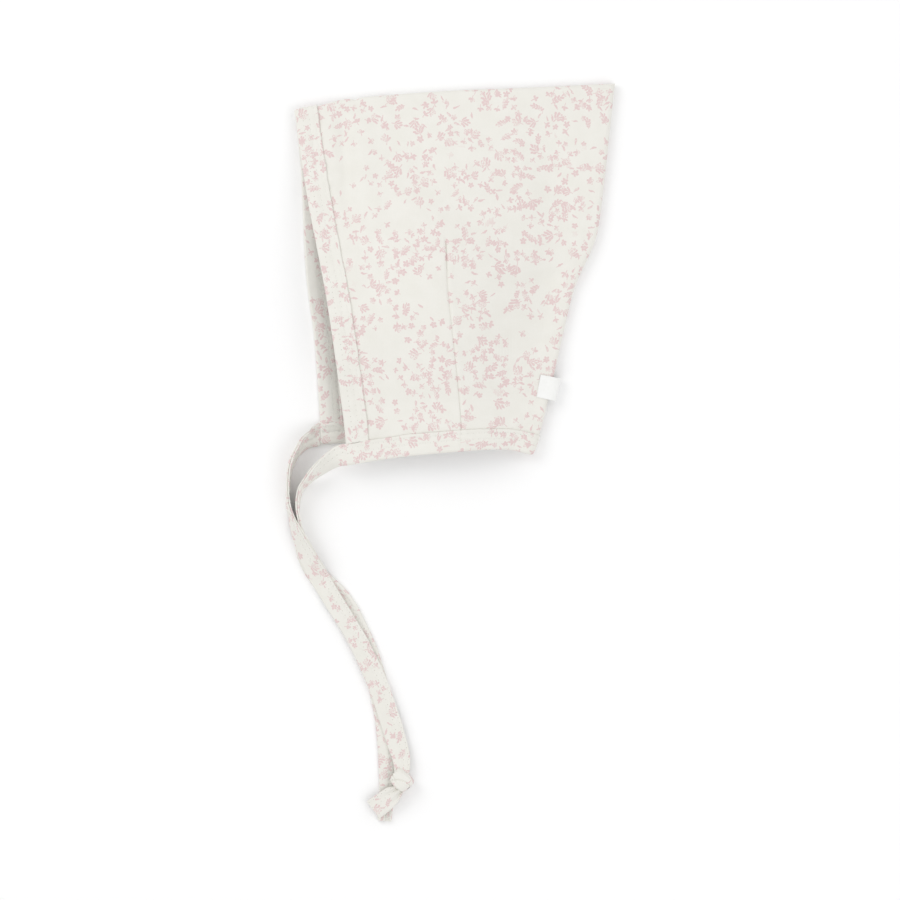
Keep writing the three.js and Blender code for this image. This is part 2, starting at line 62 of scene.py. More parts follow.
LOWER_SIDE_LIFT = 10.5
WALL = 1
LEAF = 1
CLEARANCE = 0.3
FACE_BAND_WIDTH = 11.5
NECK_BAND_WIDTH = 10.75
FOLD_RADIUS = 2.2
FACE_GAPE = 12
THROAT_GAPE = 5
NECK_GAPE = 9
CROWN_LOFT = 9
FACE_GAPE_PLACE = 0.4
NECK_GAPE_PLACE = 0.5
SETTLE_RUN = 14
FAR_LEAF = WALL / 2 + CLEARANCE + LEAF
ROLL_INSET = FOLD_RADIUS + WALL / 2
JERSEY = 0.7           # thickness of the cloth as it is seen
STRIP = 0.42           # thickness of the stretched cloth of the bindings
BAND_CORE = JERSEY / 2 + 0.03
BAND_HALF = BAND_CORE + 2 * STRIP
UPPER, ROLL, LOWER = 1, 0, -1

# Rows of an edge: share of the way along it, and bow to its left as a share of its length
FOLD_ROWS = [(0, 0), (0.08, 0.012), (0.18, 0.025), (0.48, 0.022), (0.75, 0.01), (1, 0)]
BACK_ROWS = [(0, 0), (0.09, -0.011), (0.4, -0.012), (0.48, -0.018), (0.575, -0.038),
             (0.64, -0.04), (0.8, -0.024), (1, 0)]
UPPER_FACE_ROWS = [(0, 0), (0.14, -0.009), (0.46, -0.012), (0.76, 0), (1, 0)]
LOWER_FACE_ROWS = [(0, 0), (0.3, -0.004), (0.52, 0.006), (0.82, -0.003), (1, 0)]
NECK_ROWS = [(0, 0), (0.25, 0.024), (0.55, 0.035), (0.8, 0.036), (0.92, 0.024), (1, 0)]

brow = np.array([FAR_LEAF, -ROLL_INSET])
peak = np.array([FOLD_LENGTH - ROLL_INSET, PEAK_RISE - ROLL_INSET])
nape = np.array([FACE_SLANT + NECK_LENGTH - ROLL_INSET, NAPE_RISE - FACE_DEPTH + FAR_LEAF])
upper_throat = np.array([FACE_SLANT + FAR_LEAF, FAR_LEAF - FACE_DEPTH])
lower_throat = upper_throat + np.array([-LOWER_SIDE_LEAD, LOWER_SIDE_LIFT])


def smooth(share):
    """An eased step: nought up to 0, one from 1, and a cubic between them."""
    held = np.clip(share, 0, 1)
    return held * held * (3 - 2 * held)


def blend(start, end, share):
    """A value part of the way from start to end."""
    return start + (end - start) * share


def bell(distance, reach):
    """One at the middle, falling off evenly both ways over about the reach."""
    return np.exp(-(distance / reach) ** 2)


def spline(points, cells):
    """Catmull-Rom curve: each stretch between two points is a cubic whose slopes at its
    ends are half the step between the points on either side."""
    points = np.asarray(points, float)
    padded = np.vstack([points[:1], points, points[-1:]])
    t = np.linspace(0, 1, cells, endpoint=False)[None, :, None]
    before, start, end, after = (padded[i:len(points) - 1 + i, None] for i in range(4))
    slope_in, slope_out = (end - before) / 2, (after - start) / 2
    curve = (start + slope_in * t
             + (3 * (end - start) - 2 * slope_in - slope_out) * t ** 2
             + (2 * (start - end) + slope_in + slope_out) * t ** 3)
    return np.vstack([curve.reshape(-1, points.shape[1]), points[-1:]])


def unit(vector):
    return vector / np.maximum(np.linalg.norm(vector, axis=-1, keepdims=True), 1e-12)


def run_along(points):
    """Length run from the first point to each point of a line."""
    return np.concatenate([[0], np.cumsum(np.linalg.norm(np.diff(points, axis=0), axis=1))])


def read(place, places, values):
    """The columns of a table of values, read between its rows at any place."""
    return np.stack([np.interp(place, places, column) for column in values.T], -1)


class Edge:
    """A curved edge of the cloth, read by the share of its length."""

    def __init__(self, start, end, rows):
        along = end - start
        left = np.array([-along[1], along[0]])
        self.line = spline([start + along * at + left * bow for at, bow in rows], 60)
        run = run_along(self.line)
        self.length = run[-1]
        self.share = run / self.length

    def at(self, share):
        return read(share, self.share, self.line)

    def way(self, share, step=0.002):
        """Unit vector along the edge, from the slope over a short step."""
        return unit(self.at(np.minimum(share + step, 1)) - self.at(np.maximum(share - step, 0)))


fold_edge = Edge(brow, peak, FOLD_ROWS)
back_edge = Edge(nape, peak, BACK_ROWS)
upper_face = Edge(upper_throat, brow, UPPER_FACE_ROWS)
lower_face = Edge(lower_throat, brow, LOWER_FACE_ROWS)
upper_neck = Edge(upper_throat, nape, NECK_ROWS)
lower_neck = Edge(lower_throat, nape, NECK_ROWS)

# Dart: where it starts and ends, its bow, and the line of the cloth's grid that is on it
DART_FOOT, DART_APEX, DART_HEIGHT, DART_BOW, DART_LINE = 0.62, 0.46, 0.6, 0.013, 0.53
DART_GROOVE = 0.6


def dart_shift(back, up):
    """Share by which the cloth's grid leans so that one of its lines runs up the dart."""
    rise = up / DART_HEIGHT
    line = blend(DART_FOOT, DART_APEX, rise) - 4 * DART_BOW * rise * (1 - rise) - DART_LINE
    reach = back * (1 - back) / (DART_LINE * (1 - DART_LINE))
    return line * reach * (1 - smooth((up - DART_HEIGHT) / (1 - DART_HEIGHT)))


def plan(side, back, up):
    """Place on the floor plan: a patch spanned by its four edges, each pair of facing
    edges blended across it, less the blend of its four corners."""
    side, back, up = np.broadcast_arrays(side, back, up)
    across = (back + dart_shift(back, up))[..., None]
    rise = up[..., None]
    lower = (side != UPPER)[..., None]
    face = np.where(lower, lower_face.at(up), upper_face.at(up))
    neck = np.where(lower, lower_neck.at(across[..., 0]), upper_neck.at(across[..., 0]))
    throat = np.where(lower, lower_throat, upper_throat)
    return (fold_edge.at(across[..., 0]) * rise + neck * (1 - rise)
            + back_edge.at(up) * across + face * (1 - across)
            - brow * rise * (1 - across) - peak * rise * across
            - nape * (1 - rise) * across - throat * (1 - rise) * (1 - across))


TAG_ABOVE_NAPE = 33


def ground_height(back, up):
    """Height of the lower side's middle: flat on the floor, and a binding's thickness
    higher near the bindings and the tag, which wrap under it."""
    here = plan(LOWER, back, up)
    tag = back_edge.at(TAG_ABOVE_NAPE / back_edge.length)

    def beyond(place):
        away = np.linalg.norm(here - place, axis=-1)
        return 1 - smooth((away - FACE_BAND_WIDTH) / SETTLE_RUN)

    lifted = np.maximum(beyond(plan(LOWER, 0, up)), beyond(plan(LOWER, back, 0)))
    return JERSEY / 2 + (BAND_HALF - JERSEY / 2) * np.maximum(lifted, beyond(tag))


def gape(widest, place, share):
    """Gape along an open edge: the throat's, then widest at its place, then none."""
    opening = blend(THROAT_GAPE, widest, smooth(share / place))
    return opening * (1 - smooth((share - place) / (1 - place)))


def loft(back, up):
    """Height of the upper side over a flat roll: open along the face and the neck, closed
    to the fold and the back seam, and puffed over the dart by a hump both ways."""
    near_face, near_neck = 1 - smooth(back), 1 - smooth(up)
    hump = 256 * (back * (1 - back) * up * (1 - up)) ** 2
    return (gape(FACE_GAPE, FACE_GAPE_PLACE, up) * near_face
            + gape(NECK_GAPE, NECK_GAPE_PLACE, back) * near_neck
            - THROAT_GAPE * near_face * near_neck + CROWN_LOFT * hump)


# Soft folds of the upper side. back and up are the place's shares, reach and run the half
# length and half width in shares of the fold, lean the turn in degrees, deep a share of
# the face's gape, below nought for a ridge
DENTS = [
    # back, up, reach, run, lean, deep
    (0.15, 0.86, 0.22, 0.03, 96, 0.16),
    (0.21, 0.84, 0.24, 0.04, 100, -0.1),
    (0.56, 0.70, 0.20, 0.06, -38, 0.18),
    (0.87, 0.72, 0.30, 0.07, 88, 0.12),
    (0.90, 0.47, 0.10, 0.03, 4, 0.1),
    (0.14, 0.10, 0.10, 0.05, 20, 0.1),
]
DENT_CLEAR, DENT_RUN = 0.08, 0.08


def dents(back, up):
    """Sum of the folds, each a bell both ways along its own lean, faded at the edges."""
    here = plan(UPPER, back, up)
    depth = 0
    for dent_back, dent_up, reach, run, lean, deep in DENTS:
        offset = here - plan(UPPER, dent_back, dent_up)
        turn = np.radians(lean)
        along = offset @ [np.cos(turn), np.sin(turn)]
        across = offset @ [-np.sin(turn), np.cos(turn)]
        fold = bell(along, reach * FOLD_LENGTH) * bell(across, run * FOLD_LENGTH)
        depth = depth + FACE_GAPE * deep * fold
    far_edges = smooth((1 - back) / DENT_RUN) * smooth((1 - up) / DENT_RUN)
    near_edges = smooth((back - DENT_CLEAR) / DENT_RUN) * smooth((up - DENT_CLEAR) / DENT_RUN)
    return depth * far_edges * near_edges


def ripple(place, seed, longest, shortest, waves=16):
    """Soft uneven relief: plane waves of random heading, length and phase, added up and
    scaled to about one."""
    draw = np.random.default_rng(seed)
    heading = draw.uniform(0, np.pi, waves)
    length = np.exp(draw.uniform(np.log(shortest), np.log(longest), waves))
    phase = draw.uniform(0, 2 * np.pi, waves)
    weight = length / longest
    total = 0
    for i in range(waves):
        along = place[..., 0] * np.cos(heading[i]) + place[..., 1] * np.sin(heading[i])
        total = total + weight[i] * np.sin(2 * np.pi * along / length[i] + phase[i])
    return total / np.sqrt((weight ** 2).sum())


SLACK = 0.28            # height of the soft ripples over the cloth
PUCKER = 0.20           # and of the short ones beside the seams
ALLOWANCE = 7           # width of the back seam's allowance, which shows as a low step
ALLOWANCE_STEP = 0.14
ALLOWANCE_EDGE = 0.9
# Puckers beside a seam: how much they are drawn out along it, their seed, longest and
# shortest wave, and how far they reach
FACE_PUCKERS = ((0.35, 1), 5, 11, 5, 5)
NECK_PUCKERS = ((1, 0.35), 6, 12, 5, 4)
DART_PUCKERS = ((0.35, 1), 7, 9, 4, 4)
DART_SHARE = 0.6        # height of the dart's puckers, of the others'
PAST_DART = 40          # distance added above the dart, where it has ended


def puckers(here, away, kind):
    """Ripples drawn out along a seam, which die out with the distance from it."""
    drawn_out, seed, longest, shortest, reach = kind
    return ripple(here * drawn_out, seed, longest, shortest) * bell(away, reach)


def relief(side, back, up):
    """Small unevenness of the cloth: long ripples everywhere, short puckers that die out
    a little way from the bindings and the dart, and the step of the seam allowance."""
    here = plan(side, back, up)
    from_face = np.linalg.norm(here - plan(side, 0, up), axis=-1) - FACE_BAND_WIDTH
    from_neck = np.linalg.norm(here - plan(side, back, 0), axis=-1) - NECK_BAND_WIDTH
    from_back = np.linalg.norm(here - plan(side, 1, up), axis=-1)
    from_dart = (back - DART_LINE) * NECK_LENGTH + PAST_DART * smooth((up - 0.5) / 0.2)
    rim = smooth((1 - back) * 20) * smooth((1 - up) * 20)
    short = (puckers(here, np.maximum(from_face, 0), FACE_PUCKERS)
             + puckers(here, np.maximum(from_neck, 0), NECK_PUCKERS)
             + puckers(here, from_dart, DART_PUCKERS) * DART_SHARE)
    clear = smooth(from_face / 2 + 1) * smooth(from_neck / 2 + 1)
    on_allowance = 1 - smooth((from_back - ALLOWANCE) / ALLOWANCE_EDGE + 0.5)
    step = ALLOWANCE_STEP * on_allowance * smooth((1 - back) * 40)
    return (SLACK * ripple(here, 3, 62, 20) + PUCKER * short * clear) * rim + step


# Dart: length across the cloth beside it for a whole share, its valley, which deepens at
# the apex, and the ridge of its allowance behind it
BESIDE_DART = 1.25 * NECK_LENGTH
GROOVE_RUN, APEX_DEEPER = 0.5, 0.9
RIDGE, RIDGE_PLACE, RIDGE_RUN = 0.25, 2, 1.5


def dart_groove(back, up):
    """Sewn dart: a fine valley, deepest at its apex, and a low ridge behind it where the
    allowance lies."""
    away = (back - DART_LINE) * BESIDE_DART
    rise = up / DART_HEIGHT
    ended = 1 - smooth((rise - 0.97) / 0.04)
    deeper = 1 + APEX_DEEPER * smooth((rise - 0.78) / 0.15)
    valley = DART_GROOVE * deeper * bell(away, GROOVE_RUN)
    return (valley - RIDGE * bell(away - RIDGE_PLACE, RIDGE_RUN)) * ended


def cloth_point(side, back, up):
    """Point of the middle of the cloth: its plan, and its height over the floor."""
    ground = ground_height(back, up)
    groove = dart_groove(back, up)
    small = relief(side, back, up)
    upper = ground + 2 * FOLD_RADIUS + loft(back, up) - dents(back, up) - groove + small
    lower = ground + groove + 0.4 * np.maximum(small, 0)
    height = np.where(side == UPPER, upper, lower)
    return np.concatenate([plan(side, back, up), height[..., None]], -1)


def cloth_normal(side, back, up, step=0.004):
    """Outward normal: the cross of the slopes over a short step each way, upright along
    the rolls and turned down on the lower side."""
    forward = (cloth_point(side, np.minimum(back + step, 1), up)
               - cloth_point(side, np.maximum(back - step, 0), up))
    upward = (cloth_point(side, back, np.minimum(up + step, 1))
              - cloth_point(side, back, np.maximum(up - step, 0)))
    on_rim = ((back >= 1) | (up >= 1))[..., None]
    normal = np.where(on_rim, [0.0, 0.0, 1.0], unit(np.cross(forward, upward)))
    return np.where((side == LOWER)[..., None], -normal, normal)


def roll_direction(back, up):
    """Level direction outwards from a rolled edge, mitred where both edges meet."""
    from_fold = fold_edge.way(back)[..., ::-1] * [-1, 1]
    from_back = back_edge.way(up)[..., ::-1] * [1, -1]
    on_fold, on_back = (up >= 1)[..., None], (back >= 1)[..., None]
    meet = (from_fold + from_back) / (1 + (from_fold * from_back).sum(-1, keepdims=True))
    flat = np.where(on_fold & on_back, meet, np.where(on_fold, from_fold, from_back))
    return np.concatenate([flat, np.zeros_like(flat[..., :1])], -1)


NOTCH_PLACE, NOTCH_DEPTH, NOTCH_RUN = 0.187, 0.9, 1.8     # of the fold behind the brow
SEAM_DIP, SEAM_RUN = 0.5, 0.45     # of the back seam between its two rolled lips


def roll_radius(back, up, turn):
    """Radius of the roll: a small notch behind the brow, and the sewn groove of the back
    seam half way round."""
    notch = NOTCH_DEPTH * bell((back - NOTCH_PLACE) * FOLD_LENGTH, NOTCH_RUN) * (up >= 1)
    seam = SEAM_DIP * bell((turn - np.pi / 2) * FOLD_RADIUS, SEAM_RUN)
    on_back = smooth((back - 0.995) / 0.005) * smooth((1 - up) / 0.02)
    return FOLD_RADIUS - notch * np.sin(turn) - seam * on_back


def sheet_point(side, back, up, turn, offset):
    """A point at a height offset outwards from the middle of the cloth, on a side or, at
    a turn from the upper side's rim, on the roll that joins the two sides."""
    lying = cloth_point(side, back, up) + cloth_normal(side, back, up) * offset[..., None]
    centre = cloth_point(side, back, up)
    centre[..., 2] = ground_height(back, up) + FOLD_RADIUS
    radius = (roll_radius(back, up, turn) + offset)[..., None]
    rolled = centre + roll_direction(back, up) * radius * np.sin(turn)[..., None]
    rolled[..., 2] += radius[..., 0] * np.cos(turn)
    return np.where((side == ROLL)[..., None], rolled, lying)


def skin(side, back, up, turn=0.0, offset=0.0):
    """The cloth, carried on past its face and neck edges by its mirror image there."""
    side, back, up, turn, offset = np.broadcast_arrays(side, back, up, turn, offset)

    def past_neck(held_back):
        inside = sheet_point(side, held_back, np.abs(up), turn, offset)
        if not (up < 0).any():
            return inside
        edge = sheet_point(side, held_back, 0 * up, turn, offset)
        return np.where((up < 0)[..., None], 2 * edge - inside, inside)

    point = past_neck(np.abs(back))
    if not (back < 0).any():
        return point
    return np.where((back < 0)[..., None], 2 * past_neck(0 * back) - point, point)


# The frame's crown reaches its highest X and Y at the rolled peak
peak_point = skin(ROLL, 1.0, 1.0, np.pi / 2, WALL / 2)
crown_top = np.array(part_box("crown")[1]) / MM
PLACE = np.append(crown_top[:2] - peak_point[:2], 0)
FLOOR_CLEARANCE = 0.02


class Patches:
    """Grids of points with their place on the flat cloth, gathered into one mesh."""

    def __init__(self):
        self.points, self.flats, self.faces = [], [], []
        self.count = 0

    def add(self, points, flat):
        """Grids of points are joined by quads, row to row and column to column."""
        grids = points.reshape(-1, *points.shape[-3:])
        shape = grids.shape[:-1]
        index = self.count + np.arange(np.prod(shape)).reshape(shape)
        corners = [index[:, :-1, :-1], index[:, :-1, 1:], index[:, 1:, 1:], index[:, 1:, :-1]]
        self.faces.append(np.stack(corners, -1).reshape(-1, 4))
        self.points.append(grids.reshape(-1, 3))
        self.flats.append(np.broadcast_to(flat, (*points.shape[:-1], 2)).reshape(-1, 2))
        self.count += len(self.points[-1])

    def piece(self, name, finish, slot, sharp=55):
        """The mesh in the frame's metres, pressed flat where it meets the floor, its
        doubled points merged and the flat cloth in millimetres kept as the UV map."""
        points = np.concatenate(self.points)
        points[:, 2] = np.maximum(points[:, 2], FLOOR_CLEARANCE)
        faces = np.concatenate(self.faces).astype(np.int32)
        mesh = bpy.data.meshes.new(name)
        mesh.vertices.add(len(points))
        mesh.vertices.foreach_set("co", ((points + PLACE) * MM).astype(np.float32).ravel())
        mesh.loops.add(faces.size)
        mesh.loops.foreach_set("vertex_index", faces.ravel())
        mesh.polygons.add(len(faces))
        mesh.polygons.foreach_set("loop_start", np.arange(0, faces.size, 4, dtype=np.int32))
        mesh.polygons.foreach_set("use_smooth", np.ones(len(faces), bool))
        mesh.update(calc_edges=True)
        flat = np.concatenate(self.flats)[faces.ravel()].astype(np.float32)
        mesh.uv_layers.new(name="flat").data.foreach_set("uv", flat.ravel())
        worked = bmesh.new()
        worked.from_mesh(mesh)
        bmesh.ops.remove_doubles(worked, verts=worked.verts, dist=0.003 * MM)
        bmesh.ops.recalc_face_normals(worked, faces=worked.faces)
        worked.to_mesh(mesh)
        worked.free()
        mesh.set_sharp_from_angle(angle=np.radians(sharp))
        mesh.materials.append(finish)
        piece = bpy.data.objects.new(name, mesh)
        bpy.context.scene.collection.objects.link(piece)
        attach(piece, "root")
        return piece


def lines(cells, places, spread):
    """Shares from 0 to 1 in even steps, with closer lines around the places given."""
    extra = [place + step for place in places for step in spread]
    even = np.linspace(0, 1, cells + 1)
    clear = [share for share in even if all(abs(share - more) > 0.4 / cells for more in extra)]
    return np.array(sorted(clear + extra))


# Lines of the crown's grid, closer in the notch and, by these distances, beside the dart
BESIDE_LINES = np.array([-2.2, -1.2, -0.7, -0.4, -0.15, 0.1, 0.35, 0.7, 1.2, 2, 3])
BACK_LINES = lines(120, (NOTCH_PLACE,), (-0.006, 0, 0.006))
BACK_LINES = np.unique(np.append(BACK_LINES, DART_LINE + BESIDE_LINES / BESIDE_DART))
UP_LINES = lines(148, (DART_HEIGHT * 0.99,), (-0.006, -0.003, 0, 0.003))
ROLL_TURNS = np.linspace(0, np.pi, 15)


def flat_place(side, back, up, turn=0.0):
    """Place on the cut cloth: the upper side as it lies, on round the roll by its length,
    and the lower side turned over beyond it."""
    side, back, up, turn = np.broadcast_arrays(side, back, up, turn)
    out = roll_direction(back, up)[..., :2]
    round_roll = plan(UPPER, back, up) + out * (FOLD_RADIUS * turn)[..., None]
    over = plan(LOWER, back, up)
    over[..., 1] = 2 * fold_edge.at(np.clip(back, 0, 1))[..., 1] + np.pi * FOLD_RADIUS - over[..., 1]
    past_seam = over + out * [1, -1] * (FOLD_RADIUS * (np.pi - turn))[..., None]
    rolled = np.where(((back >= 1) & (turn > np.pi / 2))[..., None], past_seam, round_roll)
    lying = np.where((side == LOWER)[..., None], over, plan(UPPER, back, up))
    return np.where((side == ROLL)[..., None], rolled, lying)


def crown_piece(finish):
    """Both sides and the roll between them, as an outer and an inner skin half the
    jersey's thickness from its middle, joined along the face and neck edges."""
    parts = Patches()
    back, up = np.meshgrid(BACK_LINES, UP_LINES)
    fold_turn, fold_back = np.meshgrid(ROLL_TURNS, BACK_LINES)
    back_turn, back_up = np.meshgrid(ROLL_TURNS, UP_LINES)
    one = 1.0
    sheets = [
        (UPPER, back, up, 0.0),
        (LOWER, back, up, 0.0),
        (ROLL, fold_back, one, fold_turn),
        (ROLL, one, back_up, back_turn),
    ]
    for spots in sheets:
        for offset in (JERSEY / 2, -JERSEY / 2):
            parts.add(skin(*spots, offset), flat_place(*spots))
    rims = [
        (UPPER, 0.0, UP_LINES, 0.0),
        (ROLL, 0.0, one, ROLL_TURNS),
        (LOWER, 0.0, UP_LINES, 0.0),
        (UPPER, BACK_LINES, 0.0, 0.0),
        (ROLL, one, 0.0, ROLL_TURNS),
        (LOWER, BACK_LINES, 0.0, 0.0),
    ]
    for spots in rims:
        rim = np.stack([skin(*spots, offset) for offset in (JERSEY / 2, -JERSEY / 2)])
        parts.add(rim, flat_place(*spots))
    return parts.piece("crown_cloth", finish, "printed_jersey")


class Value:
    """What a socket gives out. Sums and products of values add Math nodes."""

    def __init__(self, finish, socket):
        self.finish = finish
        self.socket = socket

    def more(self, name):
        """Another output of the same node."""
        return Value(self.finish, self.socket.node.outputs[name])

    def maths(self, operation, *others):
        inputs = dict(enumerate((self, *others)))
        return self.finish.node("Math", {"operation": operation}, inputs)

    def __add__(self, other):
        return self.maths("ADD", other)

    def __sub__(self, other):
        return self.maths("SUBTRACT", other)

    def __rsub__(self, other):
        return self.finish.node("Math", {"operation": "SUBTRACT"}, {0: other, 1: self})

    def __mul__(self, other):
        return self.maths("MULTIPLY", other)

    def __truediv__(self, other):
        return self.maths("DIVIDE", other)

    def __or__(self, other):
        """Either mask: the larger value."""
        return self.maths("MAXIMUM", other)

    __radd__ = __add__
    __rmul__ = __mul__

    def between(self, start, end, low, high):
        """Eased from low to high as the value goes from start to end."""
        inputs = {"Value": self, "From Min": start, "From Max": end, "To Min": low, "To Max": high}
        return self.finish.node("MapRange", {"interpolation_type": "SMOOTHSTEP"}, inputs)

    def over(self, edge, soft):
        """Mask that rises from 0 to 1 as the value passes an edge, over a soft width."""
        return self.between(edge - soft / 2, edge + soft / 2, 0, 1)

    def under(self, edge, soft):
        return self.between(edge - soft / 2, edge + soft / 2, 1, 0)

    def redrawn(self, factor):
        """Another even draw made from this one."""
        return (self * factor).maths("FRACT")


class Finish:
    """A material built node by node under one principled shader."""

    def __init__(self, name, **shading):
        self.material = bpy.data.materials.new(name)
        self.material.use_nodes = True
        self.tree = self.material.node_tree
        self.shader = self.tree.nodes["Principled BSDF"]
        for socket, value in shading.items():
            self.shader.inputs[socket.replace("_", " ")].default_value = value

    def node(self, kind, settings=None, inputs=None, output=0):
        """One node: its settings first, then the values or links of its sockets."""
        made = self.tree.nodes.new("ShaderNode" + kind)
        for name, value in (settings or {}).items():
            setattr(made, name, value)
        for name, value in (inputs or {}).items():
            if isinstance(value, Value):
                self.tree.links.new(value.socket, made.inputs[name])
            else:
                made.inputs[name].default_value = value
        return Value(self, made.outputs[output])

    def flat(self):
        """Place on the cut cloth in millimetres."""
        return self.node("UVMap", {"uv_map": "flat"})

    def split(self, vector):
        """The first two parts of a vector."""
        parts = self.node("SeparateXYZ", {}, {"Vector": vector})
        return parts, parts.more("Y")

    def mix(self, share, first, second):
        inputs = {"Factor": share, "A": first, "B": second}
        return self.node("Mix", {"data_type": "RGBA"}, inputs, "Result")

    def noise(self, place, size, detail=2.0):
        """Even noise with bumps about this size, in millimetres."""
        inputs = {"Vector": place, "Scale": 1 / size, "Detail": detail}
        return self.node("TexNoise", {"noise_dimensions": "2D"}, inputs)

    def into(self, socket, value):
        self.tree.links.new(value.socket, self.shader.inputs[socket])

    def raised(self, height, strength, distance):
        """Relief too fine for the mesh, as a bump."""
        inputs = {"Strength": strength, "Distance": distance, "Height": height}
        self.into("Normal", self.node("Bump", {}, inputs))


# The print's sprigs in millimetres. Each leaf: place along and beside the stem, lean in
# degrees, half length and half width; every leaf is repeated on the stem's other side.
# The last pair is where the stem runs from and to.
BOUQUET = [(3.0, 0, 0, 0.9, 0.5), (2.2, 1.1, 24, 0.9, 0.48), (1.1, 1.8, 50, 0.85, 0.46),
           (1.2, 0.55, 12, 0.85, 0.4), (0.1, 1.0, 62, 0.8, 0.4)], (-2.0, 0.7)
TWIG = [(2.0, 0, 0, 0.9, 0.46), (0.9, 0.72, 36, 0.85, 0.42), (-0.4, 0.72, 36, 0.85, 0.4),
        (-1.6, 0.62, 36, 0.65, 0.34)], (-2.9, 1.4)
BUD = [(1.0, 0, 0, 0.85, 0.5), (0.3, 0.85, 58, 0.8, 0.45)], (-1.7, 0.3)
BLOSSOM = [(0.9, 0, 0, 0.66, 0.48), (0.27, 0.87, 72, 0.66, 0.48),
           (-0.74, 0.54, 144, 0.66, 0.48)], (-0.2, 0.2)
STROKE = [(0.1, 0, 0, 1.25, 0.46)], (-1.7, 0.2)
STEM, STEM_EDGE, STEM_END = 0.17, 0.14, 0.2     # half width of a stem, and its soft edges
LEAF_EDGE = 0.5                      # soft edge of a leaf's oval
VEIN, VEIN_EDGE = 0.34, 0.3          # blank inside of an outlined leaf, and its soft edge
OUTLINED = 0.35                      # draw above which a sprig's one half is in outline
# Tilings of the large sprigs, of small ones clear of them and of loose small ones: size of
# a cell, share of sprigs kept, and the space that each large one keeps
WIDE_CELL, WIDE_KEPT, WIDE_CLEAR = 8.4, 0.52, 3.2
SMALL_CELL, SMALL_KEPT = 4.2, 0.58
LOOSE_CELL, LOOSE_KEPT = 6.1, 0.42
CROWD_SIZE, CROWD_PULL = 20, 2.0     # of the patches where the print is thick or thin


def scattered(finish, place, cell, kept):
    """A loose tiling: the centre of each cell, three even draws of its own, whether it
    holds a sprig, and how far off the centre the place is. Thick and thin patches of
    the print come from one slow noise, read at the centre."""
    inputs = {"Vector": place, "Scale": 1 / cell, "Randomness": 0.7}
    tiling = finish.node("TexVoronoi", {"voronoi_dimensions": "2D"}, inputs)
    centre = tiling.more("Position")
    draws = finish.node("SeparateColor", {}, {"Color": tiling.more("Color")})
    crowd = finish.noise(centre, CROWD_SIZE, 1.0)
    present = (crowd * CROWD_PULL + draws.more("Blue")).over(CROWD_PULL - kept, 0.01)
    return centre, draws, present, tiling * cell


def sprig(x, y, side, hollow, form):
    """Mask of one sprig: its leaves are ellipses, some only an outline, on a thin stem."""
    leaves, (start, end) = form
    on_stem = (x - (start + end) / 2).maths("ABSOLUTE").under((end - start) / 2, STEM_END)
    mask = y.maths("ABSOLUTE").under(STEM, STEM_EDGE) * on_stem
    for along, beside, lean, long, wide in leaves:
        turn = np.radians(lean)
        c, s = float(np.cos(turn)), float(np.sin(turn))
        run = x * (c / long) + (side * (s / long) - (along * c + beside * s) / long)
        rise = side * (c / wide) - x * (s / wide) - (beside * c - along * s) / wide
        oval = run * run + rise * rise
        mask = mask | (oval.under(1.0, LEAF_EDGE) - oval.under(VEIN, VEIN_EDGE) * hollow)
    return mask


def sprig_layer(finish, place, cell, kept, forms, clear=None):
    """Sprigs of a few forms, one to a cell, each turned, sized, bent and drawn solid or
    partly in outline by its own draws, and left out near the sprigs of a wider layer."""
    centre, draws, present, _ = scattered(finish, place, cell, kept)
    if clear is not None:
        wide_cell, wide_kept, reach = clear
        _, _, wide_present, away = scattered(finish, centre, wide_cell, wide_kept)
        present = present * (1 - wide_present * away.under(reach, 0.01))
    offset = finish.node("VectorMath", {"operation": "SUBTRACT"}, {0: place, 1: centre})
    inputs = {"Vector": offset, "Angle": draws * (2 * np.pi)}
    turned = finish.node("VectorRotate", {"rotation_type": "Z_AXIS"}, inputs)
    x, y = finish.split(turned)
    size = draws.more("Green") * 0.35 + 0.9
    x = x / size
    y = y / size + x * x * (draws.more("Green") * 0.16 - 0.08)
    pick = draws.more("Blue").redrawn(13.7)
    hollow = draws.more("Blue").redrawn(7.3).over(OUTLINED, 0.01) * y.over(0.0, 0.01)
    side = y.maths("ABSOLUTE")
    layer = None
    low = 0.0
    for form, share in forms:
        picked = pick.over(low, 0.001) * pick.under(low + share, 0.001)
        low += share
        mask = sprig(x, y, side, hollow, form) * picked
        layer = mask if layer is None else layer + mask
    return layer * present


IVORY = (0.80, 0.787, 0.738, 1)
IVORY_DEEP = (0.782, 0.768, 0.715, 1)
BLUSH = (0.722, 0.562, 0.556, 1)
WALE = 0.75             # width of one rib of the knit
COURSE = 0.6            # height of one row of its loops
STITCH = 2.6            # length of a stitch of the seams
HOLE = 0.22             # radius of a needle hole
# Painted shade in the needle holes: its colour, and how strongly it is laid over the cloth
HOLE_SHADE = (0.42, 0.39, 0.34, 1)
HOLE_SHADE_STRENGTH = 0.6


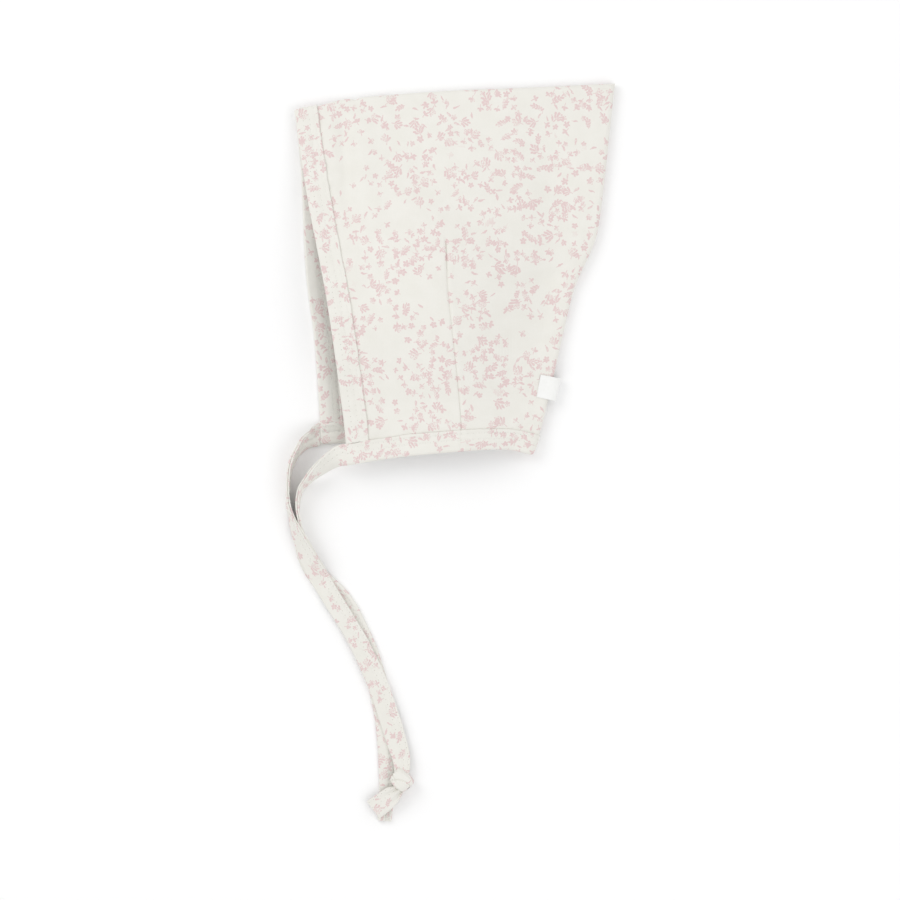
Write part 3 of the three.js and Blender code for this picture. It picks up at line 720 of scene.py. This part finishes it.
def jersey_finish(name, holes=()):
    """Printed single jersey: sprigs scattered in blush over ivory, fine ribs of small
    vee-shaped loops, a dull, slightly downy surface, and rows of needle holes where the
    strip is sewn, each painted as a dark dot of shade."""
    finish = Finish(name, Roughness=0.9, Sheen_Weight=0.1, Sheen_Roughness=0.5)
    finish.shader.inputs["Specular IOR Level"].default_value = 0.25
    cloth = finish.flat()
    bend = finish.noise(cloth, 1.6, 1.0).more("Color")
    inputs = {0: bend, 1: (0.9, 0.9, 0), 2: cloth}
    place = finish.node("VectorMath", {"operation": "MULTIPLY_ADD"}, inputs)
    wide = [(BOUQUET, 0.6), (TWIG, 0.4)]
    small = [(BUD, 0.45), (STROKE, 0.3), (BLOSSOM, 0.25)]
    clear = (WIDE_CELL, WIDE_KEPT, WIDE_CLEAR)
    printed = (sprig_layer(finish, place, WIDE_CELL, WIDE_KEPT, wide)
               | sprig_layer(finish, place, SMALL_CELL, SMALL_KEPT, small, clear)
               | sprig_layer(finish, place, LOOSE_CELL, LOOSE_KEPT, small))
    grain = finish.noise(cloth, 0.7, 3.0)
    ink = printed * (grain * 0.5 + 0.68)
    mottle = finish.noise(cloth, 9.0, 3.0)
    ground = finish.mix(mottle.over(0.5, 0.5), IVORY, IVORY_DEEP)
    colour = finish.mix(ink, ground, BLUSH)
    x, y = finish.split(cloth)
    # Painted shade: a dark dot at each needle hole along the rows of stitches
    for row in holes:
        along = ((x / STITCH).maths("FRACT") - 0.5) * STITCH
        across = y - row
        hole = (along * along + across * across).under(HOLE * HOLE, HOLE * HOLE * 1.4)
        colour = finish.mix(hole * HOLE_SHADE_STRENGTH, colour, HOLE_SHADE)
    finish.into("Base Color", colour)
    rib = (x * (np.pi / WALE)).maths("SINE").maths("ABSOLUTE")
    loop = (y * (2 * np.pi / COURSE) + rib * 2.4).maths("SINE")
    finish.raised(rib * 0.6 + loop * 0.2 + grain * 0.5, 0.35, 0.12 * MM)
    return finish.material


crown = crown_piece(jersey_finish("printed_jersey"))
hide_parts("crown")


# Bindings
# One kind of jersey strip: its two long edges are turned in, it is folded in half over
# the cloth's edge and sewn flat through all its layers, a little way inside its edges.
TURN_IN = 4.2           # width that is turned in at each long edge
NEEDLE_ROWS = (1.7, 4.8)   # how far inside the sewn edge the two rows of stitches lie
THREAD = 0.11           # radius of the sewing thread
STATION = 0.65          # step between two sections of a strip
STRIP_DEPTH = NECK_BAND_WIDTH - FAR_LEAF
FACE_STRIP_DEPTH = FACE_BAND_WIDTH - FAR_LEAF
# Shares of the outer leaf's width at which it has points, closer at the rows of stitches
LEAF_SHARES = np.array([0, 0.05, 0.1, 0.145, 0.19, 0.24, 0.29, 0.34, 0.385, 0.43, 0.48,
                        0.55, 0.65, 0.75, 0.85, 0.93, 1])
PUFF, PUFF_PLACE, PUFF_REACH = 0.26, 0.74, 0.22   # over the leaf between bend and stitches
DRAWN, DRAWN_HOLE, DRAWN_REACH = 0.10, 0.22, 0.45 # by a row of stitches, and at its holes
WAVE = 0.11
# Needle stitches: share of a stitch that shows, how blunt its ends are, how far they dive
SHOWN, BLUNT, DIVE = 0.88, 6, 0.30
# Looper threads: where each swings about, how far, its start and its swings for a stitch
LOOP_MIDDLE, LOOP_SWING = sum(NEEDLE_ROWS) / 2, (NEEDLE_ROWS[1] - NEEDLE_ROWS[0]) / 2
LOOPS = [
    (LOOP_MIDDLE, LOOP_SWING, 0.0, 2),
    (LOOP_MIDDLE, LOOP_SWING, np.pi, 1),
    (NEEDLE_ROWS[0], 0.3, 0.5, 2),
    (NEEDLE_ROWS[1], 0.3, 2.0, 2),
]


def strip_section(width, core):
    """Middle line of the folded strip, as how far it lies inside the cloth's edge and
    how far off its middle: a turned-in edge, the outer leaf, the bend, the inner leaf
    and the other turned-in edge."""
    near, far = core + STRIP / 2, core + 3 * STRIP / 2
    reach = FAR_LEAF - core - 2 * STRIP
    small = STRIP / 2
    leaf_end = width - small
    turn = np.linspace(0, np.pi, 6)[1:-1]
    hem = [(leaf_end - TURN_IN, near), (leaf_end - 0.4, near)]
    fold = [(leaf_end + small * np.sin(t), (near + far) / 2 - small * np.cos(t)) for t in turn]
    leaf = [(blend(leaf_end, -reach, share), far) for share in LEAF_SHARES]
    upper = hem + fold + leaf
    bend = [(-reach - far * np.sin(t), far * np.cos(t)) for t in np.linspace(0, np.pi, 9)[1:-1]]
    lower = [(inward, -lift) for inward, lift in reversed(upper)]
    return np.array(upper + bend + lower)


def thickened(line, half):
    """Closed section round a middle line, half a thickness to its left and right."""
    ahead = np.gradient(line, axis=0)
    left = unit(np.stack([-ahead[:, 1], ahead[:, 0]], -1))
    return np.vstack([line + left * half, (line - left * half)[::-1]])


class Strip:
    """A binding or a tie. place(along, inward, lift) gives a point from the length along
    it, the distance inside the cloth's edge and the height off the middle on its outer
    side. pattern says where the strip's own length starts, and which way it counts."""

    def __init__(self, name, length, width, place, core, pattern):
        self.name = name
        self.length = length
        self.width = width
        self.place = place
        self.core = core
        self.pattern = pattern

    def own_length(self, along):
        start, way = self.pattern
        return start + way * along

    def relief(self, along, inward):
        """How far the sewn strip rises or sinks: puffed between the bend and the
        stitches, drawn down along each row, most at the needle holes, gently waved."""
        own, inward = np.broadcast_arrays(self.own_length(along), inward)
        from_edge = self.width - inward
        puff = PUFF * bell(from_edge - PUFF_PLACE * self.width, PUFF_REACH * self.width)
        holes = (0.5 + 0.5 * np.cos(2 * np.pi * own / STITCH)) ** 4
        rows = sum(bell(from_edge - row, DRAWN_REACH) for row in NEEDLE_ROWS)
        drawn = (DRAWN + DRAWN_HOLE * holes) * rows
        wave = ripple(np.stack([own, inward * 0.6], -1), 21, 24, 7)
        return puff - drawn + WAVE * wave

    def piece(self, finish):
        """The thickened section at even stations with its relief, closed at both ends."""
        stations = np.linspace(0, self.length, int(round(self.length / STATION)) + 1)
        cores = self.core(stations)
        thin, thick = cores.min(), cores.max()
        share = ((cores - thin) / max(thick - thin, 1e-9))[:, None, None]
        first, last = (thickened(strip_section(self.width, core), STRIP / 2) for core in (thin, thick))
        ring = blend(first[None], last[None], share)
        inward, lift = ring[..., 0], ring[..., 1]
        along = np.broadcast_to(stations[:, None], inward.shape)
        weight = lift / (self.core(along) + 2 * STRIP)
        lift = lift + self.relief(along, inward) * np.clip(weight * 1.3, -1, 1)
        own = self.own_length(along)
        waver = ripple(np.stack([own, 0 * own], -1), 22, 30, 8)
        inward = inward + 0.15 * waver * smooth(inward / self.width)
        points = self.place(along, inward, lift)
        around = run_along(first)
        flat = np.stack(np.broadcast_arrays(own, around), -1)
        parts = Patches()
        parts.add(np.concatenate([points, points[:, :1]], 1), np.concatenate([flat, flat[:, -1:]], 1))
        half = points.shape[1] // 2
        for end in (0, -1):
            cap = np.stack([points[end, :half], points[end, half:][::-1]])
            parts.add(cap, np.stack([flat[end, :half], flat[end, half:][::-1]]))
        return parts.piece(self.name, finish, "jersey_binding", sharp=80)

    def threads(self, finish):
        """Two rows of short needle stitches on the outer side, and on the inner side the
        looper's threads, which swing from row to row and along each."""
        parts = Patches()
        angle = np.linspace(0, 2 * np.pi, 6)[None, None, :]
        count = int((self.length - STITCH) / STITCH)
        step = np.linspace(0, 1, 7)[None, :, None]
        start, way = self.pattern
        first = (-start * way) % STITCH
        shown = (1 - SHOWN) / 2 + SHOWN * step
        along = first + STITCH * (np.arange(count)[:, None, None] + shown)
        round_end = np.sqrt(np.clip(1 - (2 * step - 1) ** BLUNT, 0.02, 1))
        for row in NEEDLE_ROWS:
            inward = self.width - row + THREAD * round_end * np.cos(angle)
            face = self.core(along) + 2 * STRIP + self.relief(along, self.width - row)
            dive = DIVE * (2 * step - 1) ** BLUNT
            lift = face + 0.02 - dive + THREAD * round_end * np.sin(angle)
            parts.add(self.place(*np.broadcast_arrays(along, inward, lift)), (0, 0))
        along = np.arange(0.6, self.length - 0.6, 0.22)[:, None]
        phase = 2 * np.pi * self.own_length(along) / STITCH
        angle = np.linspace(0, 2 * np.pi, 5)[None, :]
        for row, reach, shift, rate in LOOPS:
            centre = self.width - row + reach * np.sin(rate * phase + shift)
            face = self.core(along) + 2 * STRIP + self.relief(along, centre)
            over = THREAD * (0.5 + 0.4 * np.cos(rate * phase + 2 * shift))
            lift = -(face + over + THREAD * np.sin(angle))
            inward = centre + THREAD * np.cos(angle)
            parts.add(self.place(*np.broadcast_arrays(along, inward, lift)), (0, 0))
        return parts.piece(self.name + "_threads", finish, "jersey_binding", sharp=180)


class EdgeRoute:
    """Way of a binding along an open edge: the upper side's, round the roll and back on
    the lower side's, read by the length along it."""

    def __init__(self, way, upper_shares, lower_shares, cells=160, round_cells=24):
        turns = np.linspace(0, np.pi, round_cells + 1)[1:-1]
        bent = len(turns)
        self.way = way
        shares = [np.linspace(*upper_shares, cells), np.ones(bent), np.linspace(*lower_shares, cells)]
        self.share = np.concatenate(shares)
        self.turn = np.concatenate([np.zeros(cells), turns, np.full(cells, np.pi)])
        side = np.repeat([UPPER, ROLL, LOWER], [cells, bent, cells])
        self.along = run_along(skin(*self.spots(side, self.share, self.turn, 0 * self.share)))
        self.length = self.along[-1]
        self.per_share = self.length_inwards(side, self.share, self.turn)
        self.upper_end = self.along[cells - 1]
        self.lower_start = self.along[cells + bent]

    def spots(self, side, share, turn, inward):
        back, up = (inward, share) if self.way == "face" else (share, inward)
        return side, back, up, turn

    def length_inwards(self, side, share, turn, step=0.1):
        """Length of the cloth in from the edge, for a whole share."""
        near, far = (skin(*self.spots(side, share, turn, 0 * share + inward)) for inward in (0, step))
        return np.linalg.norm(far - near, axis=-1) / step

    def place(self, along, inward, lift):
        on_upper, on_lower = along <= self.upper_end, along >= self.lower_start
        side = np.where(on_upper, UPPER, np.where(on_lower, LOWER, ROLL))
        table = np.stack([self.share, self.turn, self.per_share], -1)
        share, turn, length = np.moveaxis(read(along, self.along, table), -1, 0)
        return skin(*self.spots(side, share, turn, inward / length), lift)


def band_core(along):
    return BAND_CORE + 0 * along


def hole_rows():
    """Where the two rows of needle holes lie round the strip's section, on its outside."""
    section = thickened(strip_section(STRIP_DEPTH, BAND_CORE), STRIP / 2)
    around = run_along(section)
    outside = section[:, 1] > BAND_CORE + 1.9 * STRIP
    order = np.argsort(section[outside, 0])
    inward, found = section[outside, 0][order], around[outside][order]
    return [float(np.interp(STRIP_DEPTH - row, inward, found)) for row in NEEDLE_ROWS]


THREAD_IVORY = (0.84, 0.83, 0.79, 1)
binding_jersey = jersey_finish("binding_jersey", hole_rows())
thread_finish = Finish("cotton_thread", Roughness=0.7, Sheen_Weight=0.1)
thread_finish.shader.inputs["Base Color"].default_value = THREAD_IVORY

# Length of the cloth in from the face edge and up from the neck edge at the throat, for a
# whole share of its way
whole_face = EdgeRoute("face", (0.0, 1.0), (1.0, 0.0))
whole_neck = EdgeRoute("neck", (0.0, 1.0), (1.0, 0.0))
throat_lengths = {
    "back": {UPPER: whole_face.per_share[0], LOWER: whole_face.per_share[-1]},
    "up": {UPPER: whole_neck.per_share[0], LOWER: whole_neck.per_share[-1]},
}


def throat_share(way, side, distance):
    """A distance in from an edge at the throat, as a share of the cloth there."""
    return distance / throat_lengths[way][side]


# Face binding, from the neck binding's upper edge up over the fold and down inside
FOOT = STRIP_DEPTH + 0.1
FACE_CUT, NECK_CUT = 300, 900    # length at which each strip starts in the print
face_route = EdgeRoute("face", (throat_share("up", UPPER, FOOT), 1.0),
                       (1.0, throat_share("up", LOWER, FOOT)))
face_strip = Strip("face_binding", face_route.length, FACE_STRIP_DEPTH, face_route.place,
                   band_core, (FACE_CUT, 1))
face_band = face_strip.piece(binding_jersey)
face_strip.threads(thread_finish.material)
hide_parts("face_band")

# Neck binding, from the upper throat round the nape to the lower throat
neck_route = EdgeRoute("neck", (-throat_share("back", UPPER, FAR_LEAF), 1.0),
                       (1.0, -throat_share("back", LOWER, FAR_LEAF)))
neck_strip = Strip("neck_binding", neck_route.length, STRIP_DEPTH, neck_route.place,
                   band_core, (NECK_CUT, 1))
neck_band = neck_strip.piece(binding_jersey)
neck_strip.threads(thread_finish.material)
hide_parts("neck_band")


# Ties
# The neck binding run on past both ends of the throat, folded on itself and sewn shut.
# Each stands on edge at its bend, turns over once and lies flat, the far one on top.
TIE_CORE = 0.02
TIE_HALF = TIE_CORE + 2 * STRIP
FULL_WIDTH = STRIP_DEPTH + FAR_LEAF
STRIP_MIDDLE = (STRIP_DEPTH - FAR_LEAF) / 2
LAYER = 2 * TIE_HALF + 0.1    # height of one tie lying on the other
JOIN_RUN = 7                  # length in which the band's form passes into the tie's
FRAME_RUN = 5                 # and in which its lean does
LEAD = np.array([6.0, 4.0, 2.0, 0.0])   # lengths inside the band at which the way is led out
ROUTE_STEP = 0.25
ROUTE_CELLS = 30
SMOOTHED = 8                  # steps to each side over which the way is smoothed

# Way of the middle of each tie: X and Y, degrees turned over, layer, share left of the
# height at which it leaves the band, and width
NEAR_ROWS = [
    (22.4, -173.0, 14, 0, 0.9, 10.4),
    (17.3, -176.0, 38, 0, 0.66, 10),
    (11.6, -180.3, 55, 0, 0.4, 10),
    (7.1, -184.6, 70, 0, 0.2, 10),
    (3.2, -189.2, 80, 0, 0.06, 10),
    (1.7, -194.0, 85, 0, 0, 10),
    (1.2, -199.5, 91, 0, 0, 10),
    (1.5, -204.0, 97, 0, 0, 10),
    (1.8, -208.0, 103, 0, 0, 10),
    (2.6, -214.0, 122, 0, 0, 10),
    (4.2, -220.3, 137, 0, 0, 10),
    (7.6, -228.0, 152, 0, 0, 10),
    (12.8, -235.0, 168, 0, 0, 10),
    (20.2, -241.8, 180, 0, 0, 10),
    (24.8, -247.8, 180, 0, 0, 10),
    (29.7, -257.0, 180, 0, 0, 10),
    (33.6, -265.0, 180, 0, 0, 10),
    (36.6, -272.6, 180, 0, 0, 10),
    (41.0, -286.0, 180, 0, 0, 10),
    (43.2, -296.3, 180, 0, 0, 10),
    (44.7, -303.5, 180, 0, 0, 10),
    (45.8, -314.3, 180, 0, 0, 9.8),
    (46.3, -325.0, 180, 0, 0, 9.5),
    (46.0, -340.0, 180, 0, 0, 8),
    (44.6, -356.3, 180, 0, 0, 6.6),
]
FAR_ROWS = [
    (9.5, -164.0, 28, 0, 0.9, 9.8),
    (7.0, -165.1, 44, 0, 0.7, 9.8),
    (4.7, -166.8, 58, 0, 0.45, 10),
    (2.6, -169.2, 69, 0, 0.2, 10),
    (0.1, -172.7, 77, 0, 0.05, 10),
    (-1.8, -177.3, 82, 0, 0, 10),
    (-2.9, -182.0, 86, 0, 0, 10),
    (-3.5, -190.5, 90, 0, 0, 10),
    (-3.3, -197.5, 95, 0, 0, 10),
    (-2.1, -202.5, 101, 0.4, 0, 10),
    (-0.7, -207.3, 110, 0.9, 0, 10),
    (1.2, -211.8, 121, 1.4, 0, 10),
    (4.0, -218.3, 136, 1.7, 0, 10),
    (7.2, -225.0, 150, 1.5, 0, 10),
    (10.6, -231.5, 166, 1.2, 0, 9.8),
    (15.1, -239.0, 178, 1, 0, 9.5),
    (20.6, -248.0, 180, 1, 0, 9.5),
    (29.5, -262.4, 180, 1, 0, 9.5),
    (38.1, -280.0, 180, 1, 0, 9.9),
    (42.5, -290.7, 180, 1, 0, 10),
    (46.5, -302.3, 180, 1, 0, 10.3),
    (50.7, -315.8, 180, 1, 0, 10.2),
    (52.7, -322.5, 180, 1.2, 0, 9.4),
    (53.4, -328.5, 180, 1.5, 0, 8),
    (53.2, -333.0, 180, 1.7, 0, 7),
]


def tie_core(along):
    return blend(BAND_CORE, TIE_CORE, smooth(along / JOIN_RUN))


class TieRoute:
    """Way of a tie: it starts in the band's own end, with the band's form, and follows
    its rows. outward says which side of it the band's outer side runs on into."""

    def __init__(self, rows, band_end, outward):
        self.band_end = band_end
        inwards = 1 if band_end == 0 else -1
        count = len(LEAD)
        lead = neck_route.place(band_end + inwards * LEAD, STRIP_MIDDLE, np.zeros(count))
        x, y, turn, layer, hang, wide = np.array(rows, float).T
        upright = np.abs(np.sin(np.radians(turn)))
        height = (wide / 2 - TIE_HALF) * upright + TIE_HALF + layer * LAYER
        height = height + hang * (lead[-1, 2] - TIE_HALF)
        way = np.vstack([lead, np.stack([x, y, height], -1)])
        turns = np.concatenate([[0] * count, turn])
        wides = np.concatenate([[FULL_WIDTH] * count, wide])
        table = spline(np.column_stack([way, turns, wides]), ROUTE_CELLS)
        along = run_along(table[:, :3])
        start = along[(count - 1) * ROUTE_CELLS]
        even = np.arange(along[0], along[-1], ROUTE_STEP)
        table = read(even, along, table)
        kernel = np.hanning(2 * SMOOTHED + 1)
        kernel = kernel / kernel.sum()
        held = [np.repeat(table[:1], SMOOTHED, 0), table, np.repeat(table[-1:], SMOOTHED, 0)]
        columns = np.vstack(held).T
        table = np.stack([np.convolve(column, kernel, "valid") for column in columns], -1)
        tangent = unit(np.gradient(table[:, :3], axis=0))
        left = unit(np.cross([0, 0, 1.0], tangent))
        turned = np.radians(table[:, 3:4])
        wide_way = left * np.cos(turned) - np.cross(tangent, left) * np.sin(turned)
        face_way = np.cross(tangent, wide_way) * outward
        along = even - start
        share = smooth(along / FRAME_RUN)[:, None]
        ends = np.array([band_end] * 2)
        across = np.subtract(*neck_route.place(ends, np.array([-1.0, 1.0]), np.zeros(2)))
        upward = np.subtract(*neck_route.place(ends, np.full(2, STRIP_MIDDLE), np.array([1.0, -1.0])))
        wide_way = unit(blend(unit(across), wide_way, share))
        face_way = unit(blend(unit(upward), face_way, share))
        kept = along > -ROUTE_STEP
        self.along = along[kept]
        self.table = np.column_stack([table[:, :3], wide_way, face_way, table[:, 4:5]])[kept]
        self.length = self.along[-1]

    def ruled(self, along, inward, lift):
        """Point of the plain strip: straight across its width at each length."""
        found = read(along, self.along, self.table)
        middle, wide_way, face_way, wide = np.split(found, [3, 6, 9], -1)
        across = (STRIP_MIDDLE - inward)[..., None] * wide / FULL_WIDTH
        return middle + wide_way * across + face_way * lift[..., None]

    def place(self, along, inward, lift):
        """The plain strip, carried over from the band's own end by a fading shift."""
        end = np.full(np.shape(along), float(self.band_end))
        shift = neck_route.place(end, inward, lift) - self.ruled(0 * along, inward, lift)
        return self.ruled(along, inward, lift) + shift * (1 - smooth(along / JOIN_RUN))[..., None]


near_route = TieRoute(NEAR_ROWS, 0, 1)
near_strip = Strip("near_tie_strip", near_route.length, STRIP_DEPTH, near_route.place,
                   tie_core, (NECK_CUT, -1))
near_tie = near_strip.piece(binding_jersey)
near_strip.threads(thread_finish.material)
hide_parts("near_tie")

far_route = TieRoute(FAR_ROWS, neck_route.length, -1)
far_strip = Strip("far_tie_strip", far_route.length, STRIP_DEPTH, far_route.place,
                  tie_core, (NECK_CUT + neck_route.length, 1))
far_tie = far_strip.piece(binding_jersey)
far_strip.threads(thread_finish.material)


# Knot
# The far tie taken once round itself near its end: a boxy wrap with soft creases, and a
# squared tail that spreads out from under it.
KNOT_LENGTH = 9
KNOT_SPAN = 10.5
KNOT_HEIGHT = 7.0
KNOT_HEADING = (-0.68, -0.73, 0)
KNOT_CENTRE = (53.3, -335.2, LAYER + KNOT_HEIGHT / 2 - 0.6)
KNOT_CUT, TAIL_CUT = 1500, 1900   # where the wrap and the tail start in their print
CREASE, SECOND_CREASE = 0.55, 0.35
GATHER, GATHER_STEP = 0.13, 0.36  # height of the gathers, and their step along the wrap
KNOT_SLACK = 0.16


def boxed(value, power):
    """A sine or cosine pressed towards a box: raised to a power, its sign kept."""
    return np.sign(value) * np.abs(value) ** power


def knot_piece(finish):
    """The wrap: a drum about the tail's heading with rounded ends, its section pressed
    towards a box, drawn in along two creases that wander over it and gathered finely on
    the side where the layers meet."""
    end, angle = np.meshgrid(np.linspace(-1, 1, 81), np.linspace(0, 2 * np.pi, 121), indexing="ij")
    heading = unit(np.array(KNOT_HEADING, float))
    sideways = np.cross([0, 0, 1.0], heading)
    beside, rise = np.cos(angle), np.sin(angle)
    crease = CREASE * bell(end - (-0.2 - 0.65 * beside + 0.65 * beside ** 2), 0.07)
    second = bell(end - (0.42 + 0.25 * beside), 0.06) * smooth(0.6 - beside)
    crease = crease + SECOND_CREASE * second
    gathers = np.sin(2 * np.pi * end / GATHER_STEP + 1.5 * rise) * smooth((-beside - 0.5) / 0.35)
    soft = KNOT_SLACK * ripple(np.stack([end * 5, angle * 4], -1), 31, 9, 3)
    ends = (1 - np.abs(end) ** 7) ** 0.5
    grown = soft + GATHER * gathers - crease
    across = (KNOT_SPAN / 2 * (1 - 0.08 * end) + grown) * ends * boxed(beside, 0.8)
    height = (KNOT_HEIGHT / 2 + grown) * ends * boxed(rise, 0.75)
    along = KNOT_LENGTH / 2 * end + 0.8 * rise * ends
    points = np.array(KNOT_CENTRE) + heading * along[..., None] + sideways * across[..., None]
    points[..., 2] += height
    parts = Patches()
    parts.add(points, np.stack([end * 5 + KNOT_CUT, angle * 5], -1))
    return parts.piece("knot_wrap", finish, "jersey_binding", sharp=180)


# Way of the tail's middle: X and Y, height over the floor and width
TAIL_ROWS = [
    (53.0, -338.5, 4.6, 4.5),
    (51.2, -340.6, 4.8, 6.0),
    (48.6, -342.7, 4.6, 9.0),
    (44.2, -346.3, 4.0, 10.3),
    (39.2, -350.2, 3.5, 10.6),
]
PLEAT, PLEAT_END = 0.9, 0.75   # height of the pleats, and the share of the tail they run to
CURL = 1.6                     # drop of the tail's long edges, of its width squared


class TailRoute:
    """Way of the tail: out from under the wrap in pleats, spreading to its full width."""

    def __init__(self, rows):
        table = spline(np.array(rows, float), 30)
        self.along = run_along(table[:, :3])
        self.length = self.along[-1]
        tangent = unit(np.gradient(table[:, :3], axis=0))
        wide_way = unit(np.cross([0, 0, 1.0], tangent))
        self.table = np.column_stack([table[:, :3], wide_way, np.cross(tangent, wide_way), table[:, 3:4]])

    def place(self, along, inward, lift):
        found = read(along, self.along, self.table)
        middle, wide_way, face_way, wide = np.split(found, [3, 6, 9], -1)
        share = (STRIP_MIDDLE - inward) / FULL_WIDTH
        pleated = 1 - smooth(along / self.length / PLEAT_END)
        pleats = PLEAT * pleated * np.sin(share * 15 + 0.6)
        curl = CURL * share ** 2
        return middle + wide_way * wide * share[..., None] + face_way * (lift + pleats - curl)[..., None]


def all_tie(along):
    return TIE_CORE + 0 * along


knot_piece(binding_jersey)
tail_route = TailRoute(TAIL_ROWS)
tail_strip = Strip("knot_tail", tail_route.length, STRIP_DEPTH, tail_route.place, all_tie,
                   (TAIL_CUT, 1))
tail_strip.piece(binding_jersey)
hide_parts("far_tie")


# Tag
# A short loop of white woven tape, folded over the back seam with its ends caught under
# the cloth. It is plain, with nothing on it.
TAG_HEIGHT = 11.5
TAG_COVER = 5.5
TAG_STAND = 3.3
TAPE = 0.35
TAPE_LIFT = 0.9         # of the tape's face off the cloth's middle
TAPE_WHITE = (0.88, 0.88, 0.865, 1)
TAPE_SHADE = (0.86, 0.86, 0.84, 1)
WARP, WEFT = 0.3, 0.42  # steps of the tape's ribs
LOOP_CELLS, LYING_CELLS, RISE_CELLS = 24, 8, 24


def tape_finish():
    """Satin-woven tape: fine close ribs both ways, whiter and smoother than the jersey."""
    finish = Finish("woven_tape", Roughness=0.55, Sheen_Weight=0.1)
    place = finish.flat()
    shade = finish.noise(place, 3.0).over(0.5, 0.6)
    finish.into("Base Color", finish.mix(shade, TAPE_WHITE, TAPE_SHADE))
    x, y = finish.split(place)
    ribs = (x * (2 * np.pi / WARP)).maths("SINE") + (y * (2 * np.pi / WEFT)).maths("SINE")
    finish.raised(ribs, 0.3, 0.04 * MM)
    return finish.material


def tag_piece(finish):
    """The tape carried over the seam: along both sides of the cloth and round a loop
    that stands out behind the roll, at even heights up the seam."""
    lying = LYING_CELLS
    looped = LOOP_CELLS + 1
    reach = np.linspace(TAG_COVER, 0, lying + 1)[:-1] / (FACE_SLANT + NECK_LENGTH)
    turns = np.linspace(0, np.pi, looped)
    rise = np.linspace(-0.5, 0.5, RISE_CELLS + 1)
    back, up = np.meshgrid(np.concatenate([1 - reach, np.ones(looped), (1 - reach)[::-1]]),
                           (TAG_ABOVE_NAPE + TAG_HEIGHT * rise) / back_edge.length)
    turn, rise = np.meshgrid(np.concatenate([np.zeros(lying), turns, np.full(lying, np.pi)]), rise)
    side = np.broadcast_to(np.repeat([UPPER, ROLL, LOWER], [lying, looped, lying]), turn.shape)
    stand = roll_direction(1 + 0 * up, up) * (TAG_STAND * np.sin(turn) ** 0.7)[..., None]
    stand[..., 2] += 0.15 * ripple(np.stack([turn * 3, rise * TAG_HEIGHT], -1), 41, 14, 6)
    run = np.arange(2 * lying + looped)[None] * 0.6
    flat = np.stack(np.broadcast_arrays(run, rise * TAG_HEIGHT), -1)
    offsets = (TAPE_LIFT, TAPE_LIFT - TAPE)
    faces = np.stack([skin(side, back, up, turn, offset) + stand for offset in offsets])
    parts = Patches()
    parts.add(faces, np.stack([flat, flat]))
    for edge in (0, -1):
        parts.add(faces[:, edge], np.stack([flat[edge]] * 2))
        parts.add(faces[:, :, edge], np.stack([flat[:, edge]] * 2))
    return parts.piece("seam_tag_tape", finish, "woven_tape", sharp=60)


tag = tag_piece(tape_finish())
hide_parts("seam_tag")


# Studio
# A plain pale floor, soft light from the upper left and all round, and a long lens that
# looks straight down with the photograph's frame.
PHOTO_SIZE = 900
PHOTO_BROW = (295, 110)
MM_PER_PIXEL = 0.5
LENS, SENSOR = 200, 36
CLOTH_HEIGHT = 6
FLOOR_WHITE = (0.94, 0.94, 0.94, 1)
WORLD_STRENGTH = 0.81


def floor_piece(reach=2.5):
    mesh = bpy.data.meshes.new("floor")
    corners = [(-reach, -reach, 0), (reach, -reach, 0), (reach, reach, 0), (-reach, reach, 0)]
    mesh.from_pydata(corners, [], [(0, 1, 2, 3)])
    finish = Finish("pale_floor", Roughness=0.8)
    finish.shader.inputs["Base Color"].default_value = FLOOR_WHITE
    mesh.materials.append(finish.material)
    floor = bpy.data.objects.new("floor", mesh)
    bpy.context.scene.collection.objects.link(floor)


def soft_light(name, place, size, power):
    """A round light that faces the middle of the floor."""
    light = bpy.data.lights.new(name, "AREA")
    light.shape = "DISK"
    light.size = size
    light.energy = power
    lamp = bpy.data.objects.new(name, light)
    lamp.location = place
    lamp.rotation_euler = (-Vector(place)).to_track_quat("-Z", "Y").to_euler()
    bpy.context.scene.collection.objects.link(lamp)


floor_piece()
soft_light("key_light", (-0.9, 0.7, 0.9), 0.9, 5.2)
soft_light("fill_light", (0.9, -0.6, 1.3), 1.4, 5.8)
world = bpy.data.worlds.new("studio")
world.use_nodes = True
world.node_tree.nodes["Background"].inputs["Color"].default_value = (1, 1, 1, 1)
world.node_tree.nodes["Background"].inputs["Strength"].default_value = WORLD_STRENGTH
bpy.context.scene.world = world
bpy.context.scene.view_settings.view_transform = "Standard"

across = (PHOTO_SIZE / 2 - PHOTO_BROW[0]) * MM_PER_PIXEL
down = (PHOTO_SIZE / 2 - PHOTO_BROW[1]) * MM_PER_PIXEL
away = PHOTO_SIZE * MM_PER_PIXEL * LENS / SENSOR + CLOTH_HEIGHT
lens = bpy.data.cameras.new("camera")
lens.lens = LENS
lens.sensor_width = SENSOR
lens.clip_end = 20
camera = bpy.data.objects.new("camera", lens)
camera.location = (np.array([across, -down, away]) + PLACE) * MM
bpy.context.scene.collection.objects.link(camera)
bpy.context.scene.camera = camera
